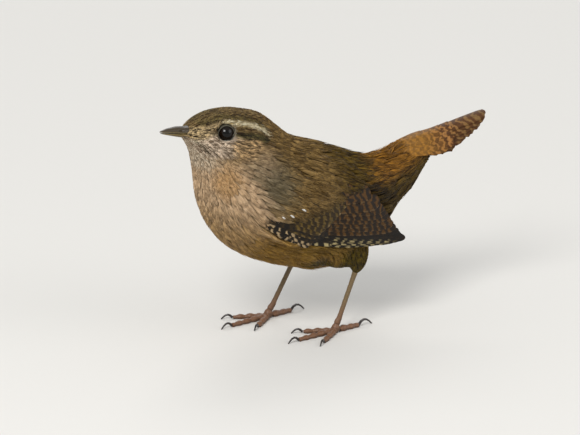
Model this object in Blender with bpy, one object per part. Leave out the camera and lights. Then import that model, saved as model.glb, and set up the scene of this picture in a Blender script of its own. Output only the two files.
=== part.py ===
"""Wren standing on level ground, a still life-size model in museum style.

The bird faces -X with its left side towards -Y and +Z up. Shapes are worked out in millimetres
and become metres when a mesh is made. The body is one loft through sagittal stations, parted by
thin plane cuts into torso, neck and head. Wings, tail and legs meet it across a small gap.
"""

import math
import random
from collections import namedtuple

import bmesh
import bpy
from mathutils import Matrix, Vector
from mathutils.bvhtree import BVHTree

MM = 0.001
GAP = 0.3
TINY = 0.00001
SHARP_ANGLE = math.radians(35.0)

# Head carriage: the head is turned to the bird's left about an upright axis through the nape.
HEAD_TURN = math.radians(8.0)
HEAD_PIVOT_X = -12.0
BODY_RING_POINTS = 24
BODY_RINGS = 38
# Squareness of the head's sections, as the power of their sines: 1 is round.
HEAD_SQUARENESS = 0.86

# Body stations from the tail root to the bill: top (x, z), bottom (x, z), half width, and the
# height of the widest level as a share of the way up.
STATIONS = (
    ((24.5, 46.6), (29.2, 31.0), 6.3, 0.55),
    ((21.9, 46.2), (25.2, 25.6), 8.6, 0.55),
    ((18.0, 46.9), (19.0, 19.8), 11.2, 0.54),
    ((12.5, 49.2), (11.5, 15.4), 13.6, 0.52),
    ((7.3, 51.4), (3.0, 15.4), 15.1, 0.50),
    ((2.2, 53.2), (-6.0, 17.2), 15.9, 0.50),
    ((-1.6, 54.4), (-14.5, 20.0), 16.2, 0.50),
    ((-4.2, 56.0), (-22.5, 24.6), 15.8, 0.50),
    ((-6.2, 57.6), (-28.0, 31.0), 14.5, 0.50),
    ((-8.0, 59.4), (-30.8, 38.0), 12.9, 0.50),
    ((-10.0, 61.1), (-31.9, 44.0), 11.4, 0.50),
    ((-12.6, 62.9), (-32.6, 48.6), 10.2, 0.49),
    ((-16.0, 64.1), (-33.4, 52.2), 9.2, 0.47),
    ((-20.2, 65.1), (-34.4, 54.8), 8.3, 0.46),
    ((-24.8, 65.4), (-35.3, 56.6), 7.3, 0.46),
    ((-29.2, 64.9), (-36.1, 57.8), 5.9, 0.46),
    ((-32.8, 63.9), (-36.8, 58.6), 4.2, 0.46),
    ((-35.3, 62.9), (-37.2, 59.1), 2.9, 0.48),
    ((-36.4, 62.3), (-37.5, 59.4), 2.1, 0.5),
)
STATION_TURN_START = 8.0
STATION_TURN_END = 12.0
NECK_START_STATION = 8.6
HEAD_START_STATION = 11.3

# Bill, in the head's own sagittal plane before it is turned.
CULMEN = ((-36.8, 62.55), (-39.5, 62.95), (-42.3, 62.85), (-44.2, 62.45), (-45.0, 62.1))
GONYS = ((-37.9, 59.55), (-39.8, 60.1), (-42.2, 60.85), (-43.8, 61.4), (-44.6, 61.75))
TOMIUM = ((-37.3, 60.75), (-39.6, 61.15), (-42.2, 61.6), (-44.0, 61.85), (-44.8, 61.95))
BILL_HALF_WIDTH = (1.95, 1.45, 0.95, 0.6, 0.3)
NOSTRIL_AT = (-38.6, 1.55, 61.9)
NOSTRIL_SIZE = (0.85, 0.5, 0.3)
GAPE_END_X = -34.2

# Eyes, placed in the head's own plane: forward x, sideways y, height z.
EYE_AT = (-26.9, 4.95, 60.85)
EYE_RADIUS = 2.5
EYE_OPENING_RADIUS = 2.0
EYE_FORWARD_TURN = math.radians(20.0)
LID_RADIUS = 0.32
LID_SINK = 0.15

MOUTH_LINE_HEIGHT = 0.35

# Feathers: thickness of a blade, of a wing feather's root and of a tail feather's root.
BLADE_THICKNESS = 0.55
WING_ROOT_THICKNESS = 0.9
TAIL_ROOT_THICKNESS = 0.7
# Small coverts vary by this share of their width and this many millimetres at the tip.
SEED = 7
WIDTH_VARIATION = 0.08
TIP_VARIATION = 0.35

# Legs: the ground's height, then heel and centre of the foot on each side. The left leg is
# the hind one of the stride.
GROUND = -1.3
HEEL = {"left": (12.7, -9.4, 15.7), "right": (2.4, 9.0, 15.4)}
FOOT = {"left": (6.5, -9.8, GROUND + 1.2), "right": (-5.4, 9.6, GROUND + 1.2)}
FOOT_RADII = (1.25, 1.15, 1.2)
TARSUS_RADIUS = 0.66
TOE_AXIS = {"left": math.radians(14.0), "right": math.radians(-15.0)}
TOE_LEVEL = 0.86

# Feathered shank: distance up from the heel, half length, half width, and how much the section
# leans with the bare shank.
THIGH_LEVELS = (
    (8.8, 3.4, 2.2, 0.0),
    (7.0, 4.0, 3.0, 0.0),
    (5.2, 3.7, 3.0, 0.15),
    (3.4, 3.0, 2.6, 0.4),
    (1.6, 2.1, 1.9, 0.8),
    (0.0, 1.15, 1.15, 1.0),
)
THIGH_POINTS = 14

Toe = namedtuple("Toe", "turn start length radius claw pads")

# Turn from the foot's axis towards its outer side, distance of the free toe's start and end
# from the centre of the foot, radius, claw length and number of pads.
TOES = {
    "hind": Toe(180.0, 1.2, 7.8, 0.78, 5.4, 2),
    "inner": Toe(-33.0, 3.0, 9.0, 0.68, 3.6, 2),
    "middle": Toe(0.0, 3.0, 12.8, 0.70, 4.2, 3),
    "outer": Toe(33.0, 3.0, 9.8, 0.68, 3.6, 2),
}

SIDES = {"left": -1.0, "right": 1.0}

COLOURS = {
    "plumage_back": ((0.20, 0.13, 0.07), 0.9),
    "plumage_breast": ((0.42, 0.28, 0.16), 0.9),
    "wing_feather": ((0.16, 0.10, 0.05), 0.8),
    "tail_feather": ((0.25, 0.13, 0.06), 0.8),
    "bill_upper": ((0.09, 0.06, 0.04), 0.4),
    "bill_lower": ((0.35, 0.25, 0.14), 0.4),
    "eye": ((0.01, 0.008, 0.006), 0.05),
    "leg_skin": ((0.36, 0.21, 0.14), 0.5),
    "claw": ((0.10, 0.07, 0.05), 0.35),
}


def clear_scene():
    for obj in list(bpy.data.objects):
        bpy.data.objects.remove(obj)


def material(slot):
    made = bpy.data.materials.get(slot)
    if made:
        return made
    colour, roughness = COLOURS[slot]
    made = bpy.data.materials.new(slot)
    made.use_nodes = True
    shader = made.node_tree.nodes["Principled BSDF"]
    shader.inputs["Base Color"].default_value = (*colour, 1.0)
    shader.inputs["Roughness"].default_value = roughness
    shader.inputs["Metallic"].default_value = 0.0
    return made


def collection(name):
    made = bpy.data.collections.get(name)
    if not made:
        made = bpy.data.collections.new(name)
        bpy.context.scene.collection.children.link(made)
    return made


def object_from(bm, name, group="wren"):
    """A mesh object from a bmesh in millimetres."""
    bmesh.ops.transform(bm, matrix=Matrix.Scale(MM, 4), verts=bm.verts)
    mesh = bpy.data.meshes.new(name)
    bm.to_mesh(mesh)
    bm.free()
    obj = bpy.data.objects.new(name, mesh)
    collection(group).objects.link(obj)
    return obj


def loft(sections):
    """A closed bmesh through like-numbered rings of points, split alike on facing sides."""
    bm = bmesh.new()
    rings = [[bm.verts.new(point) for point in section] for section in sections]
    count = len(rings[0])
    for near, far in zip(rings, rings[1:]):
        for k in range(count):
            after = (k + 1) % count
            a, b, c, d = near[k], near[after], far[after], far[k]
            if k < count // 2:
                bm.faces.new((a, b, c))
                bm.faces.new((a, c, d))
            else:
                bm.faces.new((a, b, d))
                bm.faces.new((b, c, d))
    bm.faces.new(rings[0])
    bm.faces.new(list(reversed(rings[-1])))
    bmesh.ops.triangulate(bm, faces=[face for face in bm.faces if len(face.verts) > 3])
    bmesh.ops.recalc_face_normals(bm, faces=bm.faces)
    return bm


def mix(a, b, share):
    return a + (b - a) * share


def smooth_step(low, high, value):
    share = min(max((value - low) / (high - low), 0.0), 1.0)
    return share * share * (3.0 - 2.0 * share)


def smooth_through(values, place):
    """Catmull-Rom interpolation through a list of numbers at a fractional index."""
    last = len(values) - 1
    i = min(int(place), last - 1)
    t = place - i
    p1, p2 = values[i], values[i + 1]
    p0 = values[i - 1] if i > 0 else 2 * p1 - p2
    p3 = values[i + 2] if i + 2 <= last else 2 * p2 - p1
    bend = 2 * p0 - 5 * p1 + 4 * p2 - p3 + (3 * p1 - 3 * p2 + p3 - p0) * t
    return p1 + 0.5 * t * (p2 - p0 + t * bend)


def turned(point, share=1.0):
    """A point of the head's own plane, carried round by the head's turn."""
    turn = Matrix.Rotation(HEAD_TURN * share, 3, "Z")
    pivot = Vector((HEAD_PIVOT_X, 0.0, 0.0))
    return turn @ (Vector(point) - pivot) + pivot


def body_ring(place, grow=0.0):
    """The body's section at a fractional station, grown outwards by a distance."""
    top_x = smooth_through([s[0][0] for s in STATIONS], place)
    top_z = smooth_through([s[0][1] for s in STATIONS], place)
    low_x = smooth_through([s[1][0] for s in STATIONS], place)
    low_z = smooth_through([s[1][1] for s in STATIONS], place)
    half = smooth_through([s[2] for s in STATIONS], place) + grow
    wide_at = smooth_through([s[3] for s in STATIONS], place)
    top = Vector((top_x, 0.0, top_z))
    low = Vector((low_x, 0.0, low_z))
    centre = low.lerp(top, wide_at)
    along = (top - low).normalized()
    up, down = (top - centre).length + grow, (low - centre).length + grow
    share = smooth_step(STATION_TURN_START, STATION_TURN_END, place)
    power = mix(1.0, HEAD_SQUARENESS, share)
    ring = []
    for k in range(BODY_RING_POINTS):
        angle = 2 * math.pi * k / BODY_RING_POINTS
        lift = math.copysign(abs(math.cos(angle)) ** power, math.cos(angle))
        reach = math.copysign(abs(math.sin(angle)) ** power, math.sin(angle))
        point = centre + along * (lift * (up if lift > 0 else down))
        point += Vector((0.0, reach * half, 0.0))
        ring.append(turned(point, share))
    return ring


def body_mesh(grow=0.0):
    last = len(STATIONS) - 1
    return loft([body_ring(last * i / (BODY_RINGS - 1), grow) for i in range(BODY_RINGS)])


def cut_by_plane(bm, point, normal):
    """Keeps the side that the normal points away from, and closes the cut."""
    result = bmesh.ops.bisect_plane(
        bm,
        geom=bm.verts[:] + bm.edges[:] + bm.faces[:],
        dist=TINY,
        plane_co=point,
        plane_no=normal,
        clear_outer=True,
    )
    edges = [e for e in result["geom_cut"] if isinstance(e, bmesh.types.BMEdge)]
    filled = bmesh.ops.contextual_create(bm, geom=edges)
    bmesh.ops.triangulate(bm, faces=filled["faces"])
    bmesh.ops.recalc_face_normals(bm, faces=bm.faces)


def station_plane(place):
    """Centre and forward normal of the plane that holds a body ring."""
    ring = body_ring(place)
    centre = sum(ring, Vector()) / len(ring)
    across = ring[BODY_RING_POINTS // 4] - ring[3 * BODY_RING_POINTS // 4]
    upright = ring[0] - ring[BODY_RING_POINTS // 2]
    return centre, upright.cross(across).normalized()


def apply_boolean(obj, operation, other=None, group=None, solver="EXACT"):
    """Applies one Boolean modifier, with an object or a whole collection as the other side."""
    modifier = obj.modifiers.new(operation.lower(), "BOOLEAN")
    modifier.operation = operation
    modifier.solver = solver
    if group:
        modifier.operand_type = "COLLECTION"
        modifier.collection = group
    else:
        modifier.object = other
    graph = bpy.context.evaluated_depsgraph_get()
    mesh = bpy.data.meshes.new_from_object(obj.evaluated_get(graph))
    obj.modifiers.clear()
    obj.data = mesh


def remove_all(objects):
    for obj in list(objects):
        bpy.data.objects.remove(obj)


def keep_largest(obj):
    """Drops every closed surface of a mesh but the one with the largest volume."""
    bm = bmesh.new()
    bm.from_mesh(obj.data)
    bm.faces.ensure_lookup_table()
    seen, shells = set(), []
    for start in bm.faces:
        if start in seen:
            continue
        shell, waiting = [], [start]
        seen.add(start)
        while waiting:
            face = waiting.pop()
            shell.append(face)
            for edge in face.edges:
                for other in edge.link_faces:
                    if other not in seen:
                        seen.add(other)
                        waiting.append(other)
        shells.append(shell)
    shells.sort(key=shell_volume, reverse=True)
    loose = [face for shell in shells[1:] for face in shell]
    bmesh.ops.delete(bm, geom=loose, context="FACES")
    bmesh.ops.triangulate(bm, faces=bm.faces)
    bm.to_mesh(obj.data)
    bm.free()


def shell_volume(shell):
    total = 0.0
    for face in shell:
        first = face.verts[0].co
        for a, b in zip(face.verts[1:], face.verts[2:]):
            total += first.dot(a.co.cross(b.co))
    return abs(total)


def fused(name, pieces, slot):
    """One solid from closed pieces that overlap, as a named node."""
    first = object_from(pieces[0], name)
    others = [object_from(piece, name + "_piece", name + "_pieces") for piece in pieces[1:]]
    apply_boolean(first, "UNION", group=collection(name + "_pieces"), solver="MANIFOLD")
    remove_all(others)
    keep_largest(first)
    dress(first, slot)
    return first


def cut_clear(obj, cutter):
    apply_boolean(obj, "DIFFERENCE", other=cutter)
    keep_largest(obj)


def dress(obj, slot):
    """Gives a node its one material and smooth shading."""
    obj.data.materials.clear()
    obj.data.materials.append(material(slot))
    obj.data.shade_smooth()
    obj.data.set_sharp_from_angle(angle=SHARP_ANGLE)


def helper(obj):
    """Marks a cutter or a guide, which isn't part of the bird."""
    obj.hide_render = True
    obj.display_type = "WIRE"
    return obj


def ball(name, centre, radii, turn=None, segments=20, rings=12, group="cutters"):
    """An ellipsoid from a UV sphere primitive, with its size and place in its mesh."""
    bm = bmesh.new()
    bmesh.ops.create_uvsphere(bm, u_segments=segments, v_segments=rings, radius=1.0)
    bmesh.ops.triangulate(bm, faces=bm.faces)
    size = Matrix.Diagonal((*radii, 1.0))
    place = Matrix.Translation(centre) @ (turn or Matrix.Identity(4)) @ size
    bmesh.ops.transform(bm, matrix=place, verts=bm.verts)
    return object_from(bm, name, group)


def tube(points, radii, sides=2):
    """A closed bmesh in millimetres from a poly curve with a round bevel and filled caps."""
    curve = bpy.data.curves.new("tube", "CURVE")
    curve.dimensions = "3D"
    curve.bevel_depth = 1.0
    curve.bevel_resolution = sides
    curve.use_fill_caps = True
    spline = curve.splines.new("POLY")
    spline.points.add(len(points) - 1)
    for handle, point, radius in zip(spline.points, points, radii):
        handle.co = (*point, 1.0)
        handle.radius = radius
    guide = bpy.data.objects.new("tube", curve)
    collection("cutters").objects.link(guide)
    graph = bpy.context.evaluated_depsgraph_get()
    mesh = bpy.data.meshes.new_from_object(guide.evaluated_get(graph))
    bm = bmesh.new()
    bm.from_mesh(mesh)
    bpy.data.objects.remove(guide)
    bpy.data.meshes.remove(mesh)
    bmesh.ops.remove_doubles(bm, verts=bm.verts, dist=0.001)
    bmesh.ops.recalc_face_normals(bm, faces=bm.faces)
    return bm


def vane(root, tip, half_width, lift, root_thickness, ridge=0.0, tilt=0.0, steps=4):
    """A closed, round-tipped feather, drawn flat from root to tip and laid in place by lift.

    root and tip are (along, across) places on the flat pattern, and lift(along, across, share,
    height) gives the point in space. ridge is the height of the shaft at the root, and tilt
    raises one edge over the other, as shingles lie.
    """
    corners = ((-1, 1), (0, 1), (1, 1), (1, -1), (0, -1), (-1, -1))
    root, tip = Vector(root), Vector(tip)
    across = (tip - root).normalized().orthogonal()
    sections = []
    for i in range(steps + 1):
        share = i / steps
        centre = root.lerp(tip, share)
        wide = half_width * feather_outline(share)
        deep = mix(root_thickness, BLADE_THICKNESS, share)
        section = []
        for reach, level in corners:
            if not ridge and not reach:
                continue
            place = centre + across * (reach * wide)
            height = -tilt * reach * wide
            if level < 0:
                height -= deep
            elif not reach:
                height += ridge * (1.0 - share)
            section.append(lift(place.x, place.y, share, height))
        sections.append(section)
    return loft(sections)


def feather_outline(share):
    """Half width of a feather along its length: narrow root, broad blade, rounded tip."""
    blade = 0.45 + 0.55 * smooth_step(0.0, 0.35, share)
    rounding = math.sqrt(max(1.0 - max((share - 0.62) / 0.40, 0.0) ** 2, 0.0))
    return blade * rounding


def row(ends, count):
    """Evenly spaced (x, z) places from the first end to the last."""
    first, last = Vector(ends[0]), Vector(ends[1])
    return [first.lerp(last, i / (count - 1)) for i in range(count)]


Tier = namedtuple("Tier", "roots tips count half_width heights steps")


class Wing:
    """One folded wing: feathers laid on the torso's side, given by their (x, z) places."""

    PRIMARIES = 8
    PRIMARY_ROOTS = ((-12.5, 30.8), (-6.5, 33.5))
    PRIMARY_TIP = (27.8, 23.5)
    PRIMARY_HALF_WIDTH = 2.3
    # How much shorter the outermost and the innermost primaries are than the longest.
    OUTER_SHORTENING = 10.5
    INNER_SHORTENING = 2.6
    SHAFT_RIDGE = 0.12
    # The other tiers, innermost first, each from its lowest feather: roots, tips, count, half
    # width, height of the tips above the wing's base, and lengthwise steps of a feather.
    FLIGHT_TIERS = (
        # Secondaries, then tertials.
        Tier(((-9.0, 33.5), (-1.0, 38.0)), ((25.2, 28.0), (20.8, 33.8)), 5, 2.8, (0.55, 0.75), 5),
        Tier(((0.5, 38.5), (0.5, 42.4)), ((19.0, 36.4), (13.4, 42.6)), 3, 3.0, (1.0, 1.1), 5),
    )
    COVERT_TIERS = (
        # Alula, primary coverts, greater coverts, median coverts, scapulars.
        Tier(((-16.0, 33.6), (-15.6, 35.0)), ((-8.4, 29.5), (-6.2, 31.4)), 2, 1.2, (0.9, 1.0), 4),
        Tier(((-15.0, 32.4), (-12.6, 34.0)), ((-3.4, 27.4), (0.8, 29.0)), 3, 1.7, (0.6, 0.7), 4),
        Tier(((-12.6, 34.6), (-3.2, 42.2)), ((-0.8, 29.9), (8.8, 38.6)), 7, 2.0, (1.0, 1.1), 4),
        Tier(((-15.6, 38.0), (-7.4, 44.0)), ((-8.6, 34.6), (1.2, 41.4)), 6, 2.0, (1.2, 1.2), 4),
        Tier(((-9.0, 44.8), (-6.0, 48.0)), ((5.8, 41.6), (11.4, 46.2)), 4, 2.4, (1.1, 0.7), 5),
    )
    SHINGLE_TILT = 0.20
    ROOT_SINK = 0.35
    # The wing's core: centre, semi-axes and slant of its dome, and the dome's height and fall.
    CORE_AT = (-4.0, 37.5)
    CORE_AXES = (14.0, 9.5)
    CORE_SLANT = math.radians(-12.0)
    CORE_TOP = 1.9
    CORE_FALL = 2.8
    CORE_DEPTH = 2.5
    CORE_SPOKES = 20
    CORE_RINGS = ((0.05, 1), (0.4, 1), (0.7, 1), (0.88, 1), (1.0, 1), (1.0, -1), (0.05, -1))
    BASE_HEIGHT = 0.5
    # Past the torso the wing lies at this half width, less what it toes in towards its tip,
    # leans in above its middle and tucks in at its lower edge.
    FREE_HALF_WIDTH = 14.5
    TOE_IN_FROM_X, TOE_IN = 5.0, 0.22
    LEAN_IN_FROM_Z, LEAN_IN = 29.0, 0.0165
    TUCK_BELOW_Z, TUCK = 26.0, 0.03
    BLEND_WIDTH = 2.5

    def __init__(self, name, side, body_tree):
        self.name = name
        self.side = side
        self.tree = body_tree
        self.dice = random.Random(SEED)

    def body_half_width(self, x, z):
        """How far the torso reaches sideways at (x, z), or 0 past its outline."""
        start = Vector((x, 60.0 * self.side, z))
        hit = self.tree.ray_cast(start, Vector((0.0, -self.side, 0.0)), 60.0)[0]
        return abs(hit.y) if hit else 0.0

    def free_half_width(self, x, z):
        """Where the wing lies past the torso, such as its tip beside the tail."""
        toe_in = self.TOE_IN * max(x - self.TOE_IN_FROM_X, 0.0)
        lean_in = self.LEAN_IN * max(z - self.LEAN_IN_FROM_Z, 0.0) ** 2
        tuck = self.TUCK * max(self.TUCK_BELOW_Z - z, 0.0) ** 2
        return self.FREE_HALF_WIDTH - toe_in - lean_in - tuck

    def surface(self, x, z):
        """The two widths joined by a soft maximum."""
        body, free = self.body_half_width(x, z), self.free_half_width(x, z)
        near = max(self.BLEND_WIDTH - abs(body - free), 0.0) / self.BLEND_WIDTH
        return max(body, free) + near * near * self.BLEND_WIDTH / 4.0

    def core_height(self, x, z):
        """Height of the core's dome above the resting surface, negative past its rim."""
        along, up = x - self.CORE_AT[0], z - self.CORE_AT[1]
        u = along * math.cos(self.CORE_SLANT) + up * math.sin(self.CORE_SLANT)
        v = up * math.cos(self.CORE_SLANT) - along * math.sin(self.CORE_SLANT)
        reach = (u / self.CORE_AXES[0]) ** 2 + (v / self.CORE_AXES[1]) ** 2
        return self.CORE_TOP - self.CORE_FALL * min(reach, 1.2)

    def base_height(self, x, z):
        """The level that the tiers lie on: the core's dome, and a low even level past it."""
        return max(self.core_height(x, z), self.BASE_HEIGHT)

    def feather(self, root, tip, half_width, height, ridge, steps):
        """A vane between two (x, z) places, its root sunk in the core or the torso's side."""

        def lift(x, z, share, rise):
            out = smooth_step(0.0, 0.6, share)
            base = mix(max(self.core_height(x, z), -self.ROOT_SINK), self.base_height(x, z), out)
            lie = mix(-self.ROOT_SINK, height, out) + base
            return Vector((x, self.side * (self.surface(x, z) + lie + rise), z))

        return vane(root, tip, half_width, lift, WING_ROOT_THICKNESS, ridge, self.SHINGLE_TILT, steps)

    def core(self):
        """A dome under the coverts, its rim sunk into the torso's side."""
        sections = []
        for reach, level in self.CORE_RINGS:
            section = []
            for k in range(self.CORE_SPOKES):
                angle = 2 * math.pi * k / self.CORE_SPOKES
                u = reach * self.CORE_AXES[0] * math.cos(angle)
                v = reach * self.CORE_AXES[1] * math.sin(angle)
                x = self.CORE_AT[0] + u * math.cos(self.CORE_SLANT) - v * math.sin(self.CORE_SLANT)
                z = self.CORE_AT[1] + u * math.sin(self.CORE_SLANT) + v * math.cos(self.CORE_SLANT)
                height = self.core_height(x, z) if level > 0 else -self.CORE_DEPTH
                section.append(Vector((x, self.side * (self.surface(x, z) + height), z)))
            sections.append(section)
        return loft(sections)

    def primaries(self):
        """The long flight feathers of the hand, the outermost lowest and shorter."""
        made = []
        for i, root in enumerate(row(self.PRIMARY_ROOTS, self.PRIMARIES)):
            share = i / (self.PRIMARIES - 1)
            outer, inner = max(1.0 - 2.0 * share, 0.0), max(2.0 * share - 1.0, 0.0)
            shorter = self.OUTER_SHORTENING * outer**1.5 + self.INNER_SHORTENING * inner
            tip = (self.PRIMARY_TIP[0] - shorter, self.PRIMARY_TIP[1] + 7.5 * (share - 0.4) ** 2)
            height = 0.1 + 0.35 * share
            made.append(self.feather(root, tip, self.PRIMARY_HALF_WIDTH, height, self.SHAFT_RIDGE, 5))
        return made

    def tiers(self, tiers, ridge, variation):
        """The feathers of some tiers, with widths and tips varied by a share of the full measure."""
        made = []
        for tier in tiers:
            places = zip(row(tier.roots, tier.count), row(tier.tips, tier.count))
            for i, (root, tip) in enumerate(places):
                wide = tier.half_width * (1.0 + variation * WIDTH_VARIATION * self.dice.uniform(-1, 1))
                tip = tip + (tip - root).normalized() * (variation * TIP_VARIATION * self.dice.uniform(-1, 1))
                height = mix(*tier.heights, i / (tier.count - 1))
                made.append(self.feather(root, tip, wide, height, ridge, tier.steps))
        return made

    def build(self, clearance):
        flight = self.tiers(self.FLIGHT_TIERS, self.SHAFT_RIDGE, 0.0)
        coverts = self.tiers(self.COVERT_TIERS, 0.0, 1.0)
        wing = fused(self.name, [self.core(), *self.primaries(), *flight, *coverts], "wing_feather")
        cut_clear(wing, clearance)
        dress(wing, "wing_feather")
        return wing


def build_body():
    """Torso, neck and head as parts of one loft, with the head's openings cut."""
    parts = (
        ("torso", None, NECK_START_STATION),
        ("neck", NECK_START_STATION, HEAD_START_STATION),
        ("head", HEAD_START_STATION, None),
    )
    made = {}
    for name, start, end in parts:
        bm = body_mesh()
        if end is not None:
            point, forward = station_plane(end)
            cut_by_plane(bm, point - forward * (GAP / 2), forward)
        if start is not None:
            point, forward = station_plane(start)
            cut_by_plane(bm, point + forward * (GAP / 2), -forward)
        made[name] = object_from(bm, name)
        dress(made[name], "plumage_back")
    return made


def eye_place(side):
    """Centre of an eyeball and the direction it looks in."""
    x, y, z = EYE_AT
    look = Vector((-math.sin(EYE_FORWARD_TURN), side * math.cos(EYE_FORWARD_TURN), 0.08))
    start = turned((x, side * y, z))
    ahead = turned(Vector((x, side * y, z)) + look)
    return start, (ahead - start).normalized()


def build_eyes(head):
    """Eyeballs in their sockets, each with a raised ring of lid that is fused to the head."""
    lids, sockets = [], []
    for name, side in SIDES.items():
        centre, look = eye_place(side)
        facing = look.to_track_quat("Z", "Y").to_matrix().to_4x4()
        eye = ball("eye_" + name, centre, (EYE_RADIUS,) * 3, facing, 18, 10, "wren")
        dress(eye, "eye")
        depth = math.sqrt(EYE_RADIUS**2 - EYE_OPENING_RADIUS**2)
        bpy.ops.mesh.primitive_torus_add(
            major_radius=EYE_OPENING_RADIUS + GAP + LID_RADIUS,
            minor_radius=LID_RADIUS,
            major_segments=20,
            minor_segments=6,
        )
        lid = bpy.context.object
        lid.data.transform(Matrix.Translation(centre + look * (depth - LID_SINK)) @ facing)
        lid.data.transform(Matrix.Scale(MM, 4))
        lids.append(lid)
        radius = EYE_RADIUS + GAP
        sockets.append(ball("socket_" + name, centre, (radius,) * 3, facing, 16, 10))
        radius = EYE_OPENING_RADIUS + GAP
        bm = bmesh.new()
        bmesh.ops.create_cone(
            bm, cap_ends=True, segments=20, radius1=radius, radius2=radius + 0.15, depth=4.0
        )
        place = Matrix.Translation(centre + look * (depth + 2.0)) @ facing
        bmesh.ops.transform(bm, matrix=place, verts=bm.verts)
        sockets.append(object_from(bm, "aperture_" + name, "cutters"))
    for lid in lids:
        apply_boolean(head, "UNION", other=lid)
    for socket in sockets:
        apply_boolean(head, "DIFFERENCE", other=helper(socket))
    remove_all(lids)
    keep_largest(head)


def bill_sections(upper):
    """Sections of one mandible: a rounded outer side and a flat side at the mouth line."""
    sections = []
    outer = CULMEN if upper else GONYS
    half_gap = GAP / 2 if upper else -GAP / 2
    for edge, middle, half in zip(outer, TOMIUM, BILL_HALF_WIDTH):
        section = []
        count = 8
        base_x, base_z = middle[0], middle[1] + half_gap
        for k in range(count):
            angle = math.pi * k / (count - 1)
            lift = math.sin(angle) ** 0.8
            x = mix(base_x, edge[0], lift)
            z = mix(base_z, edge[1], lift)
            section.append(turned((x, half * math.cos(angle), z)))
        sections.append(section)
    return sections


def build_bill(head):
    """Both mandibles, the nostrils and the mouth line that runs on into the face."""
    upper = object_from(loft(bill_sections(True)), "bill_upper")
    lower = object_from(loft(bill_sections(False)), "bill_lower")
    for side in SIDES.values():
        x, y, z = NOSTRIL_AT
        cutter = ball("nostril", turned((x, side * y, z)), NOSTRIL_SIZE, None, 12, 8)
        apply_boolean(upper, "DIFFERENCE", other=helper(cutter))
    dress(upper, "bill_upper")
    dress(lower, "bill_lower")
    start = TOMIUM[0]
    slope = math.atan2(TOMIUM[1][1] - TOMIUM[0][1], TOMIUM[1][0] - TOMIUM[0][0])
    length = (GAPE_END_X - start[0]) * 2
    size = Matrix.Diagonal((length, 12.0, MOUTH_LINE_HEIGHT, 1.0))
    turn = Matrix.Rotation(HEAD_TURN, 4, "Z") @ Matrix.Rotation(-slope + math.pi, 4, "Y")
    bm = bmesh.new()
    bmesh.ops.create_cube(bm, size=1.0)
    place = Matrix.Translation(turned((start[0], 0.0, start[1]))) @ turn @ size
    bmesh.ops.transform(bm, matrix=place, verts=bm.verts)
    slit = helper(object_from(bm, "mouth_line", "cutters"))
    apply_boolean(head, "DIFFERENCE", other=slit)
    keep_largest(head)
    dress(head, "plumage_back")


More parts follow.
